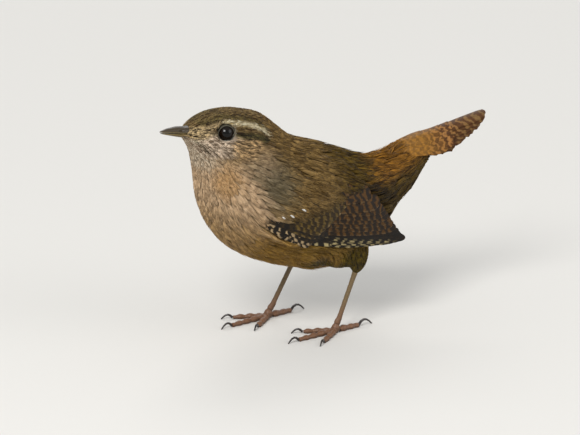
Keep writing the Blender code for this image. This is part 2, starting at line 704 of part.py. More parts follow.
class Tail:
    """The cocked tail: a covert mass that carries on from the torso, and folded rectrices."""

    # Top (x, z), bottom (x, z) and half width of the covert mass, from the torso backwards.
    CORE = (
        ((24.9, 46.75), (29.6, 31.1), 6.1),
        ((28.6, 48.0), (32.9, 34.3), 5.2),
        ((33.2, 49.2), (36.2, 38.8), 4.1),
        ((38.8, 50.3), (39.4, 43.4), 3.0),
        ((45.0, 51.6), (45.0, 49.4), 1.5),
    )
    CORE_POINTS = 16
    ROOT = Vector((25.4, 0.0, 46.0))
    RISE = math.radians(19.5)
    DROOP = 2.2
    PAIRS = 6
    LENGTH = 32.4
    SHORTENING = 9.5
    HALF_WIDTH = 2.6
    FIRST_OFFSET = 0.9
    OFFSET_STEP = 1.3
    LAYER_STEP = 0.16
    SHAFT_RIDGE = 0.1
    # The folded tail's cross-section is a roof: a round ridge, then two steep flat sides.
    ROOF_RADIUS = 3.4
    ROOF_SLOPE = math.radians(74.0)
    # Covert rows: middle angle and spread round the covert mass in degrees, root and tip as
    # places along it, count, half width and rise in millimetres.
    COVERT_ROWS = (
        (0.0, 44.0, 1.5, 3.5, 3, 1.6, 0.35),
        (0.0, 60.0, 0.8, 2.6, 4, 1.9, 0.52),
        (0.0, 80.0, 0.1, 1.7, 5, 2.1, 0.69),
        (180.0, 44.0, 1.3, 3.1, 3, 1.8, 0.35),
        (180.0, 62.0, 0.1, 1.8, 4, 2.2, 0.52),
    )
    COVERT_LAYER = 0.08
    COVERT_SINK = 0.35

    def core_point(self, place, angle, out):
        """A point at a distance off the covert mass, angle 0 on top."""
        columns = list(zip(*((*top, *low, half) for top, low, half in self.CORE)))
        top_x, top_z, low_x, low_z, half = (smooth_through(column, place) for column in columns)
        top, low = Vector((top_x, 0.0, top_z)), Vector((low_x, 0.0, low_z))
        centre, reach = (top + low) / 2, (top - low) / 2
        upward = reach.normalized() * (reach.length + out) * math.cos(angle)
        return centre + upward + Vector((0.0, (half + out) * math.sin(angle), 0.0))

    def core(self):
        last = len(self.CORE) - 1
        sections = []
        for i in range(2 * last + 1):
            angles = [2 * math.pi * k / self.CORE_POINTS for k in range(self.CORE_POINTS)]
            sections.append([self.core_point(i / 2, angle, 0.0) for angle in angles])
        return loft(sections)

    def roof(self, across):
        """Sideways reach, drop and slope of the folded tail at a distance from its ridge."""
        slope = min(abs(across) / self.ROOF_RADIUS, self.ROOF_SLOPE)
        rest = abs(across) - self.ROOF_RADIUS * slope
        reach = self.ROOF_RADIUS * math.sin(slope) + rest * math.cos(slope)
        drop = self.ROOF_RADIUS * (1.0 - math.cos(slope)) + rest * math.sin(slope)
        return math.copysign(reach, across), drop, math.copysign(slope, across)

    def rectrices(self):
        """Twelve long feathers, the middle pair on top and the outer ones shorter below."""
        forward = Vector((math.cos(self.RISE), 0.0, math.sin(self.RISE)))
        upward = Vector((-math.sin(self.RISE), 0.0, math.cos(self.RISE)))
        made = []
        for i in range(self.PAIRS):
            share_out = i / (self.PAIRS - 1)
            length = self.LENGTH - self.SHORTENING * share_out**1.7
            for side in SIDES.values():
                offset = side * (self.FIRST_OFFSET + self.OFFSET_STEP * i)
                layer = self.LAYER_STEP * (2 * i + (0.5 + 0.5 * side))

                def lift(along, across, share, height, layer=layer):
                    gathered = across * mix(0.5, 1.0, smooth_step(0.0, 0.55, share))
                    reach, drop, slope = self.roof(gathered)
                    out = height - layer
                    point = self.ROOT + forward * along + Vector((0.0, reach, 0.0)) - upward * drop
                    point += upward * (out * math.cos(slope)) + Vector((0.0, out * math.sin(slope), 0.0))
                    point.z -= self.DROOP * (along / self.LENGTH) ** 2
                    return point

                root, tip = (0.0, offset), (length, offset)
                sizes = (TAIL_ROOT_THICKNESS, self.SHAFT_RIDGE)
                made.append(vane(root, tip, self.HALF_WIDTH, lift, *sizes, steps=5))
        return made

    def coverts(self):
        """Rows of small feathers over and under the root of the tail, the hindmost row first."""
        dice = random.Random(SEED)
        made = []
        for middle, spread, root, tip, count, wide, rise in self.COVERT_ROWS:
            radius = mix(self.core_radius(root), self.core_radius(tip), 0.5)
            for k in range(count):
                angle = math.radians(middle + mix(-spread, spread, k / (count - 1)))
                half_width = wide * (1.0 + WIDTH_VARIATION * dice.uniform(-1, 1))
                layer = rise + self.COVERT_LAYER * (k % 2)

                def lift(along, across, share, height, angle=angle, layer=layer, radius=radius):
                    lie = mix(-self.COVERT_SINK, layer, smooth_step(0.0, 0.5, share))
                    return self.core_point(along, angle + across / radius, lie + height)

                made.append(vane((root, 0.0), (tip, 0.0), half_width, lift, TAIL_ROOT_THICKNESS))
        return made

    def core_radius(self, place):
        centre = self.core_point(place, 0.0, 0.0).lerp(self.core_point(place, math.pi, 0.0), 0.5)
        return (self.core_point(place, math.pi / 2, 0.0) - centre).length

    def build(self):
        """Fuses the tail and trims it clear of the torso's end."""
        tail = fused("tail", [self.core(), *self.rectrices(), *self.coverts()], "tail_feather")
        bm = bmesh.new()
        bm.from_mesh(tail.data)
        bpy.data.objects.remove(tail)
        bmesh.ops.transform(bm, matrix=Matrix.Scale(1 / MM, 4), verts=bm.verts)
        point, forward = station_plane(0.0)
        cut_by_plane(bm, point - forward * GAP, forward)
        tail = object_from(bm, "tail")
        keep_largest(tail)
        dress(tail, "tail_feather")


def leg_line(name):
    """Heel, centre of the foot, and the direction down the bare shank."""
    heel, foot = Vector(HEEL[name]), Vector(FOOT[name])
    return heel, foot, (foot - heel).normalized()


def build_thigh(name, clearance):
    """The feathered shank: a cone that leaves the belly and ends round the heel."""
    heel, _, down = leg_line(name)
    sections = []
    for lift, half_length, half_width, lean in THIGH_LEVELS:
        axis = Vector((0.0, 0.0, -1.0)).lerp(down, lean).normalized()
        side = Vector((0.0, 1.0, 0.0))
        forward = side.cross(axis).normalized()
        side = axis.cross(forward)
        centre = heel - axis * lift
        ring = []
        for k in range(THIGH_POINTS):
            angle = 2 * math.pi * k / THIGH_POINTS
            reach = forward * (half_length * math.cos(angle)) + side * (half_width * math.sin(angle))
            ring.append(centre + reach)
        sections.append(ring)
    thigh = object_from(loft(sections), "thigh_" + name)
    cut_clear(thigh, clearance)
    dress(thigh, "plumage_breast")
    return thigh


def build_tarsus(name):
    """The bare shank from the heel to the foot, a little thicker at both joints."""
    heel, foot, down = leg_line(name)
    length = (foot - heel).length - GAP - FOOT_RADII[2] - GAP
    points, radii = [], []
    for share in (0.0, 0.07, 0.2, 0.5, 0.8, 0.93, 1.0):
        points.append(heel + down * (GAP + length * share))
        radii.append(TARSUS_RADIUS * (1.0 + 0.28 * abs(2 * share - 1) ** 5))
    shank = object_from(tube(points, radii), "tarsus_" + name)
    dress(shank, "leg_skin")
    return shank


def toe_direction(foot, toe):
    side = SIDES[foot]
    angle = TOE_AXIS[foot] + math.radians(TOES[toe].turn)
    return Vector((-math.cos(angle), side * math.sin(angle), 0.0))


def build_foot(foot):
    """The ball of the foot with the roots of the front toes, which are joined there."""
    centre = Vector(FOOT[foot])
    ground = Vector((centre.x, centre.y, GROUND))
    ball_piece = ball("foot_" + foot, centre, FOOT_RADII, None, 12, 8, "wren")
    stubs = []
    for toe, size in TOES.items():
        if size.start > FOOT_RADII[0]:
            along = toe_direction(foot, toe)
            height = Vector((0.0, 0.0, size.radius * TOE_LEVEL))
            points = [ground + along * reach + height for reach in (0.2, size.start)]
            stubs.append(object_from(tube(points, [size.radius] * 2, 1), "stub", "stubs"))
    apply_boolean(ball_piece, "UNION", group=collection("stubs"), solver="MANIFOLD")
    remove_all(stubs)
    keep_largest(ball_piece)
    flatten(ball_piece)
    dress(ball_piece, "leg_skin")
    for toe in TOES:
        build_toe(foot, toe, ground)


def build_toe(foot, toe, ground):
    """One toe with its pads, flat underneath, and its claw."""
    size = TOES[toe]
    along = toe_direction(foot, toe)
    start, end = size.start + GAP, size.length
    steps = size.pads * 3
    points, radii = [], []
    for i in range(steps + 1):
        share = i / steps
        swell = 1.0 - 0.09 * math.cos(2 * math.pi * size.pads * share)
        radius = size.radius * mix(1.0, 0.76, share) * swell
        points.append(ground + along * mix(start, end, share) + Vector((0.0, 0.0, radius * TOE_LEVEL)))
        radii.append(radius)
    piece = object_from(tube(points, radii), "toe_%s_%s" % (foot, toe))
    flatten(piece)
    dress(piece, "leg_skin")
    build_claw(foot, toe, ground + along * (end + GAP), along, radii[-1])


def build_claw(foot, toe, start, along, toe_radius):
    """A hook that leaves the toe's end, arches up and comes down to the ground."""
    length = TOES[toe].claw
    steps = 5
    base_height = toe_radius * 1.05
    points, radii = [], []
    for i in range(steps + 1):
        share = i / steps
        arch = 0.25 * length * math.sin(math.pi * share**0.9)
        height = mix(base_height, 0.1, share**1.6) + arch
        points.append(start + along * (0.86 * length * share) + Vector((0.0, 0.0, height)))
        radii.append(mix(toe_radius * 0.68, 0.13, share**0.9))
    claw = object_from(tube(points, radii, 1), "claw_%s_%s" % (foot, toe))
    flatten(claw)
    dress(claw, "claw")


def flatten(obj):
    """Cuts off what would reach below the ground, leaving a small flat there."""
    bm = bmesh.new()
    bm.from_mesh(obj.data)
    if min(vert.co.z for vert in bm.verts) < GROUND * MM:
        cut_by_plane(bm, Vector((0.0, 0.0, GROUND * MM)), Vector((0.0, 0.0, -1.0)))
    bm.to_mesh(obj.data)
    bm.free()


def place_on_origin():
    """Parents every node to one empty that brings the box's bottom centre to the origin."""
    nodes = [obj for obj in collection("wren").objects]
    corners = [vert.co for obj in nodes for vert in obj.data.vertices]
    low = [min(corner[axis] for corner in corners) for axis in range(3)]
    high = [max(corner[axis] for corner in corners) for axis in range(3)]
    holder = bpy.data.objects.new("wren_origin", None)
    bpy.context.scene.collection.objects.link(holder)
    holder.location = (-(low[0] + high[0]) / 2, -(low[1] + high[1]) / 2, -low[2])
    for obj in nodes:
        obj.parent = holder


def main():
    clear_scene()
    body_tree = BVHTree.FromBMesh(body_mesh())
    clearance = helper(object_from(body_mesh(GAP), "body_clearance", "cutters"))
    parts = build_body()
    build_eyes(parts["head"])
    build_bill(parts["head"])
    for name, side in SIDES.items():
        Wing("wing_" + name, side, body_tree).build(clearance)
        build_thigh(name, clearance)
        build_tarsus(name)
        build_foot(name)
    Tail().build()
    for obj in list(collection("cutters").objects):
        helper(obj)
    place_on_origin()


main()
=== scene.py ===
"""Looks of a still, life-size wren on level ground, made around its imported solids.

Lengths are plan millimetres: the frame's own axes, bill towards -X and up along +Z, measured from
a point on the bird's midline. They become metres in the frame when a mesh is made. One skin lies
under a coat of small feathers, each a closed tuft of fine barbs over a thin blade. Wings and tail
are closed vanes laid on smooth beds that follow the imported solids.
"""

import math
from collections import namedtuple

import bmesh
import bpy
import numpy as np
from bpy.props import FloatProperty, FloatVectorProperty, IntProperty, PointerProperty
from mathutils import Matrix, Vector
from mathutils.bvhtree import BVHTree


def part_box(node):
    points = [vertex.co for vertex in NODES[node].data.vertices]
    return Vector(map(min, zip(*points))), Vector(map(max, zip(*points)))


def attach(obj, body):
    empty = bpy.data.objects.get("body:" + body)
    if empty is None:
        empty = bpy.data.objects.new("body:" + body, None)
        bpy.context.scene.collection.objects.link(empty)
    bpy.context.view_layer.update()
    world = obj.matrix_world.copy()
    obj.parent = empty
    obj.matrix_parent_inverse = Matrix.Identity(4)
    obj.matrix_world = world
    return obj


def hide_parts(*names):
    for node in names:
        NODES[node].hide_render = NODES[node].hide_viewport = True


bl_info = {
    "name": "Wren looks",
    "version": (1, 0, 0),
    "blender": (4, 5, 0),
    "location": "3D View > Sidebar > Wren",
    "description": "Skin, feathers, bill, eyes and legs of a still wren around its packed solids",
    "category": "Add Mesh",
}

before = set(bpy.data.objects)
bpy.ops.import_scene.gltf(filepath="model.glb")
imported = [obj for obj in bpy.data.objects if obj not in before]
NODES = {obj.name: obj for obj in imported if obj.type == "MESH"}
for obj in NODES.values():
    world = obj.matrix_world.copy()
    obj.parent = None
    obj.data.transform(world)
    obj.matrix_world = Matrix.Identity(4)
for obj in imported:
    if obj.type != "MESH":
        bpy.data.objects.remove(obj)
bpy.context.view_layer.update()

MM = 0.001
# Where the plan's own origin lies in the frame, in millimetres.
PLAN_AT = np.array((-5.80, 0.06, 1.30))
SIDES = {"left": -1.0, "right": 1.0}

# The head is turned to the bird's left about an upright axis.
HEAD_TURN = math.radians(8.0)
HEAD_PIVOT_X = -12.0
EYE_AT = np.array((-26.5, 4.95, 60.40))
EYE_FORWARD_TURN = math.radians(20.0)
EYE_RADIUS = 2.5
EYE_CLEAR = 2.35
EYE_DEPTH = 6.0

# Skin under the coat: spacing of its faces, and how far seams are closed before it is made.
SKIN_VOXEL = 0.5
SEAM_CLOSING = 0.2
SKIN_ROUNDS = 5
# Rounded fillings of the skin under long feathers: middle and half size.
FILLINGS = (
    ((8.4, -8.4, 20.4), (5.6, 3.8, 3.4)),
    ((12.6, -9.5, 17.4), (1.25, 1.15, 2.8)),
    ((2.4, 9.0, 17.0), (1.25, 1.15, 2.8)),
)
TAIL_STUMP_X = 39.0

# A small feather: barbs side by side over one thin blade, and the reach across at three places.
FEATHER_FAN = (0.30, 0.85, 1.0)
FEATHER_LIFT = (-0.12, 0.72, 1.0)
BARB_HEIGHT = 0.45
BLADE_RINGS = ((0.0, 0.30), (0.5, 0.95), (0.82, 0.80))
PATCH = 0.003

Lie = namedtuple("Lie", "at flow length depth piece")

# The lie of the coat at named places, on the right side and the midline: place, direction, feather
# length, depth of the coat and the piece that the feathers belong to.
LIES = {
    "forehead": Lie((-35.2, 0.0, 63.4), (0.75, 0.0, 0.55), 1.4, 0.30, "crown"),
    "lores": Lie((-33.2, 3.4, 61.6), (1.0, 0.25, 0.30), 1.3, 0.28, "face"),
    "brow": Lie((-28.0, 4.4, 64.0), (1.0, 0.05, 0.05), 2.0, 0.36, "crown"),
    "crown_front": Lie((-30.5, 0.0, 65.0), (1.0, 0.0, 0.15), 2.4, 0.42, "crown"),
    "crown": Lie((-23.5, 0.0, 65.5), (1.0, 0.0, -0.05), 3.2, 0.50, "crown"),
    "nape": Lie((-14.0, 0.0, 63.3), (0.90, 0.0, -0.35), 4.6, 0.80, "nape"),
    "hindneck": Lie((-8.5, 0.0, 59.6), (0.75, 0.0, -0.60), 5.4, 1.00, "nape"),
    "mantle": Lie((-2.0, 0.0, 54.6), (1.0, 0.0, -0.32), 6.4, 1.15, "mantle"),
    "mantle_side": Lie((-3.0, 9.0, 51.0), (1.0, 0.1, -0.40), 6.4, 1.20, "mantle"),
    "back": Lie((9.0, 0.0, 50.7), (1.0, 0.0, -0.34), 6.8, 1.20, "mantle"),
    "rump": Lie((18.5, 0.0, 46.9), (1.0, 0.0, -0.05), 6.8, 1.20, "rump"),
    "tail_root": Lie((27.0, 0.0, 47.4), (1.0, 0.0, 0.36), 6.0, 0.80, "rump"),
    "tail_coverts": Lie((35.0, 0.0, 49.4), (1.0, 0.0, 0.34), 7.0, 0.60, "rump"),
    "chin": Lie((-37.0, 0.8, 58.7), (0.45, 0.1, -0.85), 1.3, 0.28, "face"),
    "under_eye": Lie((-29.5, 5.8, 59.0), (1.0, 0.15, -0.40), 1.6, 0.34, "face"),
    "cheek": Lie((-27.5, 7.2, 56.8), (0.85, 0.10, -0.60), 2.6, 0.46, "face"),
    "ear": Lie((-20.5, 9.0, 58.6), (1.0, 0.10, -0.25), 3.2, 0.55, "face"),
    "throat": Lie((-34.2, 0.0, 52.5), (0.20, 0.0, -1.0), 3.4, 0.65, "throat"),
    "throat_side": Lie((-29.5, 7.5, 50.5), (0.55, 0.05, -0.80), 4.2, 0.85, "throat"),
    "neck_side": Lie((-16.0, 11.0, 51.0), (0.90, 0.10, -0.50), 5.6, 1.05, "nape"),
    "breast": Lie((-32.0, 0.0, 42.0), (0.12, 0.0, -1.0), 6.0, 1.10, "breast"),
    "breast_side": Lie((-25.0, 11.5, 39.0), (0.55, 0.10, -0.85), 7.0, 1.25, "breast"),
    "shoulder": Lie((-14.5, 15.0, 43.0), (0.95, 0.0, -0.42), 6.8, 1.30, "shoulder"),
    "bend": Lie((-17.0, 15.6, 34.0), (0.95, 0.0, -0.35), 7.2, 1.30, "shoulder"),
    "low_breast": Lie((-26.0, 0.0, 28.5), (0.72, 0.0, -0.68), 6.8, 1.25, "belly"),
    "belly": Lie((-6.0, 0.0, 17.6), (1.0, 0.0, -0.05), 7.6, 1.35, "belly"),
    "low_flank": Lie((-10.0, 13.0, 23.0), (0.95, 0.0, -0.25), 7.6, 1.35, "flank"),
    "flank": Lie((0.0, 15.5, 28.0), (0.97, 0.0, -0.22), 7.6, 1.35, "flank"),
    "vent": Lie((14.0, 0.0, 17.5), (0.92, 0.0, 0.35), 7.0, 1.25, "belly"),
    "rear_flank": Lie((17.0, 9.5, 34.0), (0.95, 0.0, 0.15), 6.6, 1.20, "flank"),
    "undertail": Lie((26.0, 0.0, 29.0), (0.75, 0.0, 0.65), 6.0, 0.90, "undertail"),
    "undertail_tip": Lie((34.0, 0.0, 36.5), (0.80, 0.0, 0.60), 7.5, 0.60, "undertail"),
    "thigh_hind": Lie((12.5, 9.6, 20.0), (0.15, 0.0, -1.0), 3.4, 0.50, "thigh"),
    "thigh_fore": Lie((2.2, 9.2, 19.5), (0.10, 0.0, -1.0), 3.4, 0.50, "thigh"),
    "heel": Lie((12.5, 9.4, 16.2), (-0.30, 0.0, -1.0), 2.0, 0.15, "thigh"),
}
LIE_AT = np.array([lie.at for lie in LIES.values()])
LIE_FLOW = np.array([lie.flow for lie in LIES.values()])
LIE_SIZES = np.array([(lie.length, lie.depth) for lie in LIES.values()])
LIE_PIECES = [lie.piece for lie in LIES.values()]
LIE_BLEND = 2.0

# Half width of a small feather from its length, layers of them over each place, and how evenly
# their roots are spaced as a share of the mean spacing.
WIDTH_SHARE = 0.085
WIDTH_LEAST = 0.16
COAT_LAYERS = 4.0
EVEN_SPACING = 0.72
# Coherent strands: width across the lie in millimetres, and how many times longer they are.
STRAND_WIDTH = 0.27
STRAND_STRETCH = 8.0

# Lines of the head's marks as (x, z) places in the head's own plane.
BROW_LINE = ((-26.6, 63.5), (-21.9, 62.6), (-17.8, 61.3), (-15.1, 59.9), (-13.1, 58.1))
FORE_BROW_LINE = ((-33.0, 62.0), (-30.6, 62.7), (-26.6, 63.5))
EYE_LINE = ((-24.2, 60.1), (-22.3, 59.5), (-19.6, 59.1), (-16.2, 58.0), (-14.3, 56.6))
LORAL_LINE = ((-31.6, 61.2), (-30.2, 60.9), (-29.6, 59.3))
MALAR_LINE = ((-35.2, 58.9), (-33.4, 57.0), (-31.9, 54.9))
SECOND_MALAR_LINE = ((-33.6, 58.6), (-31.6, 56.8), (-30.4, 55.0))
CROWN_LINE = ((-33.0, 63.3), (-26.3, 64.7), (-19.7, 63.4), (-15.8, 61.6), (-13.5, 59.5))

# Where brown upperparts give way to buff underparts, as (x, z) places along the body.
FLANK_LINE_X = (-38.0, -30.0, -22.0, -16.0, -10.0, 0.0, 20.0, 30.0)
FLANK_LINE_Z = (58.0, 54.0, 51.0, 44.0, 34.0, 26.0, 29.0, 38.0)

# Lower edge of the soft feathers on a folded wing, and how far vanes show inside its outline.
SOFT_EDGE_X = (-22.0, -17.5, -16.0, -12.0, -7.0, -2.0, 4.0, 8.0, 14.0, 24.0)
SOFT_EDGE_Z = (24.0, 29.0, 33.5, 35.0, 35.6, 36.4, 37.6, 38.8, 40.6, 50.0)
WING_MARGIN = 1.2

Tier = namedtuple("Tier", "roots tips count widths sunk tilt bend finish")

# Wing feathers, lowest layer first: (x, z) of the first and last root and tip, count, width of the
# upper and lower web, depth of the root under the bed, lift of the lower edge, bend and finish.
WING_TIERS = {
    "primary": Tier(
        ((-12.5, 30.6), (-6.5, 33.5)), None, 8, (1.9, 1.2), 0.95, 0.16, -0.5, "primary"
    ),
    "secondary": Tier(
        ((-9.0, 33.5), (-1.0, 38.0)), ((24.2, 27.4), (19.8, 33.8)),
        6, (2.3, 1.5), 0.80, 0.15, -0.4, "secondary",
    ),
    "tertial": Tier(
        ((0.2, 38.5), (0.6, 42.6)), ((18.6, 36.2), (12.8, 42.4)),
        3, (2.4, 2.2), 0.55, 0.12, -0.2, "secondary",
    ),
    "alula": Tier(
        ((-16.4, 34.0), (-15.6, 36.0)), ((-8.8, 29.3), (-5.6, 31.8)),
        3, (0.9, 0.8), 0.45, 0.16, 0.0, "edge",
    ),
    "primary_covert": Tier(
        ((-14.6, 32.4), (-11.2, 35.0)), ((-4.4, 27.1), (1.4, 29.6)),
        6, (1.1, 0.9), 0.50, 0.16, 0.0, "edge",
    ),
    "greater_covert": Tier(
        ((-13.4, 35.4), (-2.6, 42.4)), ((-2.2, 29.9), (8.6, 38.6)),
        10, (1.5, 1.3), 0.45, 0.14, -0.1, "covert",
    ),
}
PRIMARY_TIP = (27.8, 23.5)
PRIMARY_STRETCH = 1.35
OUTER_SHORTENING = 10.5
INNER_SHORTENING = 2.6
VANE_STEPS = 26
VANE_COLUMNS = 8
RACHIS_WIDTH = 0.10
RACHIS_HEIGHT = 0.09
BED_CELL = 0.6
BED_ROUNDS = 10
DOT_PLACES = ((-12.5, 36.8), (-10.2, 37.2), (-6.9, 38.7))
PALE_PRIMARIES = (1.0, 0.6, 0.95, 0.5, 0.8, 0.3)
# A feather this far or less inside a wing's face is counted as lying over that wing.
WING_SHEET_DEPTH = 6.0
# Each job after the coat draws from its own seed, so many past the coat's.
SEED_STEPS = {"left_scapulars": 1, "right_scapulars": 2, "wings": 20, "tail": 40}
# The vane's own map runs 10 mm across it, with the shaft in the middle, and 50 mm along it. Barbs
# lie this far apart, lag this much behind for each millimetre off the shaft, and bars wander.
VANE_MAP_ACROSS = 10.0
VANE_MAP_ALONG = 50.0
BARB_SPACING = 0.3
BARB_SLANT = 0.55
BAR_WANDER = 3.4
# What a vane's bars and barbs are worked out from: result, operation and its two terms.
VANE_SUMS = (
    ("off_shaft", "SUBTRACT", "u", 0.5),
    ("half", "ABSOLUTE", "off_shaft", 0.0),
    ("web", "MULTIPLY", "half", VANE_MAP_ACROSS),
    ("along", "MULTIPLY", "v", VANE_MAP_ALONG),
    ("wander", "MULTIPLY", "noise", BAR_WANDER),
    ("lag", "MULTIPLY", "web", BARB_SLANT),
    ("slant", "SUBTRACT", "along", "lag"),
    ("wandered", "ADD", "slant", "wander"),
    ("shifted", "ADD", "wandered", "Phase"),
    ("turns", "DIVIDE", "shifted", "Period"),
    ("angle", "MULTIPLY", "turns", 2.0 * math.pi),
    ("wave", "SINE", "angle", 0.0),
    ("barb_angle", "MULTIPLY", "slant", 2.0 * math.pi / BARB_SPACING),
    ("barbs", "SINE", "barb_angle", 0.0),
)

# The folded tail: root, rise, droop, length, and the roof shape of its cross-section.
TAIL_ROOT = np.array((25.4, 0.0, 46.0))
TAIL_RISE = math.radians(19.5)
TAIL_DROOP = 2.2
TAIL_PAIRS = 6
TAIL_LENGTH = 32.4
TAIL_SHORTENING = 12.0
TAIL_FIRST_OFFSET = 0.9
TAIL_OFFSET_STEP = 1.05
TAIL_LAYER = 0.15
# Upper tail coverts: where their rows end behind the tail's root, and their size and spacing.
TAIL_COVERT_ENDS = (13.0, 15.5, 18.0, 20.5)
TAIL_COVERT_LENGTH = 9.0
TAIL_COVERT_STEP = 1.45
TAIL_COVERT_SIDE = 5
TAIL_WEBS = (2.6, 2.3)
ROOF_RADIUS = 3.4
ROOF_SLOPE = math.radians(74.0)

# Bare parts.
BILL_VOXEL = 0.10
# The root of the bill is drawn back into the coat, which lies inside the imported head.
BILL_SUNK = 2.2
BILL_BASE_LEAN = 0.45
HEAD_AHEAD = (math.cos(HEAD_TURN), math.sin(HEAD_TURN), 0.0)
LEG_VOXEL = 0.15
CLAW_VOXEL = 0.08
HEEL = {"left": (12.7, -9.4, 15.7), "right": (2.4, 9.0, 15.4)}
FOOT = {"left": (6.5, -9.8, -0.1), "right": (-5.4, 9.6, -0.1)}
TOES = ("hind", "inner", "middle", "outer")
SCUTE_LENGTH = 2.1
TOE_SCUTE_LENGTH = 1.1
SCUTE_RISE = 0.09
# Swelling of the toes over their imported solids, and the spacing of their joints.
TOE_SWELL = 0.26
TOE_JOINT = 2.6
GAPE_PLACES = (
    (-38.4, 1.55, 60.85),
    (-36.8, 2.45, 60.35),
    (-35.4, 3.25, 59.75),
    (-34.2, 3.75, 59.05),
)

# The photograph's view: a long lens 18 degrees above the floor, 24 degrees round to the front.
VIEW_AZIMUTH = math.radians(-24.0)
VIEW_ELEVATION = math.radians(18.0)
VIEW_TARGET = (-3.04, 0.0, 30.63)
VIEW_WIDTH = 161.1
VIEW_DISTANCE = 4000.0
SENSOR = 36.0


def linear(hex_colour):
    """An sRGB hex colour as linear red, green and blue."""
    channels = [int(hex_colour[i : i + 2], 16) / 255.0 for i in (1, 3, 5)]
    return tuple(c / 12.92 if c <= 0.04045 else ((c + 0.055) / 1.055) ** 2.4 for c in channels)


def colour(label, hex_colour, description):
    """A colour property with its default from a hex value."""
    return FloatVectorProperty(
        name=label,
        description=description,
        default=linear(hex_colour),
        size=3,
        min=0.0,
        max=1.0,
        subtype="COLOR",
    )


class WREN_PG_coat(bpy.types.PropertyGroup):
    """Sizes of the feathers."""

    seed: IntProperty(name="Seed", description="Start of the random draws", default=11, min=0)
    density: FloatProperty(
        name="Density",
        description="Share of the planned small feathers that are laid",
        default=1.0,
        min=0.05,
        max=1.2,
        subtype="FACTOR",
    )
    barb_width: FloatProperty(
        name="Barb width",
        description="Width of one barb of a feather 5 mm long; it goes with the root of the length",
        default=0.20 * MM,
        unit="LENGTH",
    )
    vane_thickness: FloatProperty(
        name="Vane thickness",
        description="Thickness of a wing or tail feather",
        default=0.14 * MM,
        unit="LENGTH",
    )


class WREN_PG_plumage(bpy.types.PropertyGroup):
    """Light and dark shades of each area of plumage."""

    crown_light: colour("Crown, light", "#967d4f", "Feather edges of the crown")
    crown_dark: colour("Crown, dark", "#351e04", "Feather centres of the crown")
    brow_light: colour("Brow, light", "#e7ddbe", "Pale stripe over the eye")
    brow_dark: colour("Brow, dark", "#a28a5a", "Shaded part of the stripe over the eye")
    stripe_light: colour("Eye stripe, light", "#5b552b", "Edges of the dark stripe behind the eye")
    stripe_dark: colour("Eye stripe, dark", "#070500", "Dark stripe behind the eye")
    cheek_light: colour("Cheek, light", "#e5cfb6", "Pale flecks of the cheek")
    cheek_dark: colour("Cheek, dark", "#5c4932", "Dark flecks of the cheek")
    lores_light: colour("Lores, light", "#d2b788", "Buff flecks between bill and eye")
    lores_dark: colour("Lores, dark", "#201709", "Dark flecks between bill and eye")
    ring_light: colour("Eye ring, light", "#b9b6ac", "Greyish flecks round the eye")
    ring_dark: colour("Eye ring, dark", "#6c6a5c", "Shaded flecks round the eye")
    ear_light: colour("Ear coverts, light", "#e7c08a", "Rufous buff behind the cheek")
    ear_dark: colour("Ear coverts, dark", "#251a0a", "Brown flecks behind the cheek")
    throat_light: colour("Throat, light", "#d5c6ae", "Creamy throat")
    throat_dark: colour("Throat, dark", "#897258", "Shaded throat feathers")
    breast_light: colour("Breast, light", "#ceb18e", "Pinkish buff breast")
    breast_dark: colour("Breast, dark", "#b69875", "Shaded breast feathers")
    patch_light: colour("Breast patch, light", "#d2ab7c", "Warm patch on the side of the breast")
    patch_dark: colour("Breast patch, dark", "#b89364", "Shaded feathers of the warm patch")
    # The belly's shades are somewhat darker than its own olive buff, as painted shade on the underside.
    belly_light: colour("Belly, light", "#ad8642", "Olive buff belly")
    belly_dark: colour("Belly, dark", "#7b5c25", "Brown belly feathers")
    flank_light: colour("Flank, light", "#a07f31", "Olive brown flank")
    flank_dark: colour("Flank, dark", "#5b440f", "Dark bars of the flank")
    # The shoulder's dark tone is painted shade in the gaps between its strands.
    shoulder_light: colour("Shoulder, light", "#887a5e", "Grey-brown strands of the shoulder")
    shoulder_dark: colour("Shoulder, dark", "#56492f", "Gaps between the strands of the shoulder")
    mantle_light: colour("Mantle, light", "#a5854f", "Brown mantle")
    mantle_dark: colour("Mantle, dark", "#4f3811", "Dark bars of the mantle")
    back_light: colour("Lower back, light", "#7f6421", "Brown lower back")
    back_dark: colour("Lower back, dark", "#1a0a01", "Dark bars of the lower back")
    rump_light: colour("Rump, light", "#be832c", "Rufous rump")
    rump_dark: colour("Rump, dark", "#472b02", "Dark bars of the rump")
    undertail_light: colour("Undertail, light", "#775f29", "Pale spots of the undertail coverts")
    undertail_dark: colour("Undertail, dark", "#271602", "Dark bars of the undertail coverts")
    thigh_light: colour("Thigh, light", "#735f19", "Pale spots of the thigh")
    thigh_dark: colour("Thigh, dark", "#2b2102", "Dark bars of the thigh")
    wing_pale: colour("Primary, pale bar", "#9a8a60", "Pale bars on the outer web of the primaries")
    wing_dark: colour("Primary, dark bar", "#120c05", "Blackish bars of the primaries")
    web_pale: colour("Wing, rufous bar", "#4a2f08", "Rufous bars of the inner flight feathers")
    web_dark: colour("Wing, dark bar", "#190e02", "Dark bars of the inner flight feathers")
    covert_pale: colour("Wing covert, pale", "#534015", "Pale bars of the wing coverts")
    covert_dark: colour("Wing covert, dark", "#271b06", "Dark bars of the wing coverts")
    edge_pale: colour("Wing edge, pale", "#97805e", "Pale bars at the bend of the wing")
    dot: colour("Covert dot", "#f4f0e8", "Round dots on the median coverts")
    tail_pale: colour("Tail, pale bar", "#8f6230", "Rufous bars of the tail")
    tail_dark: colour("Tail, dark bar", "#4c2c0a", "Dark bars of the tail")
    tail_tip: colour("Tail, tip", "#694f29", "Greyer shade towards the tail's tip")


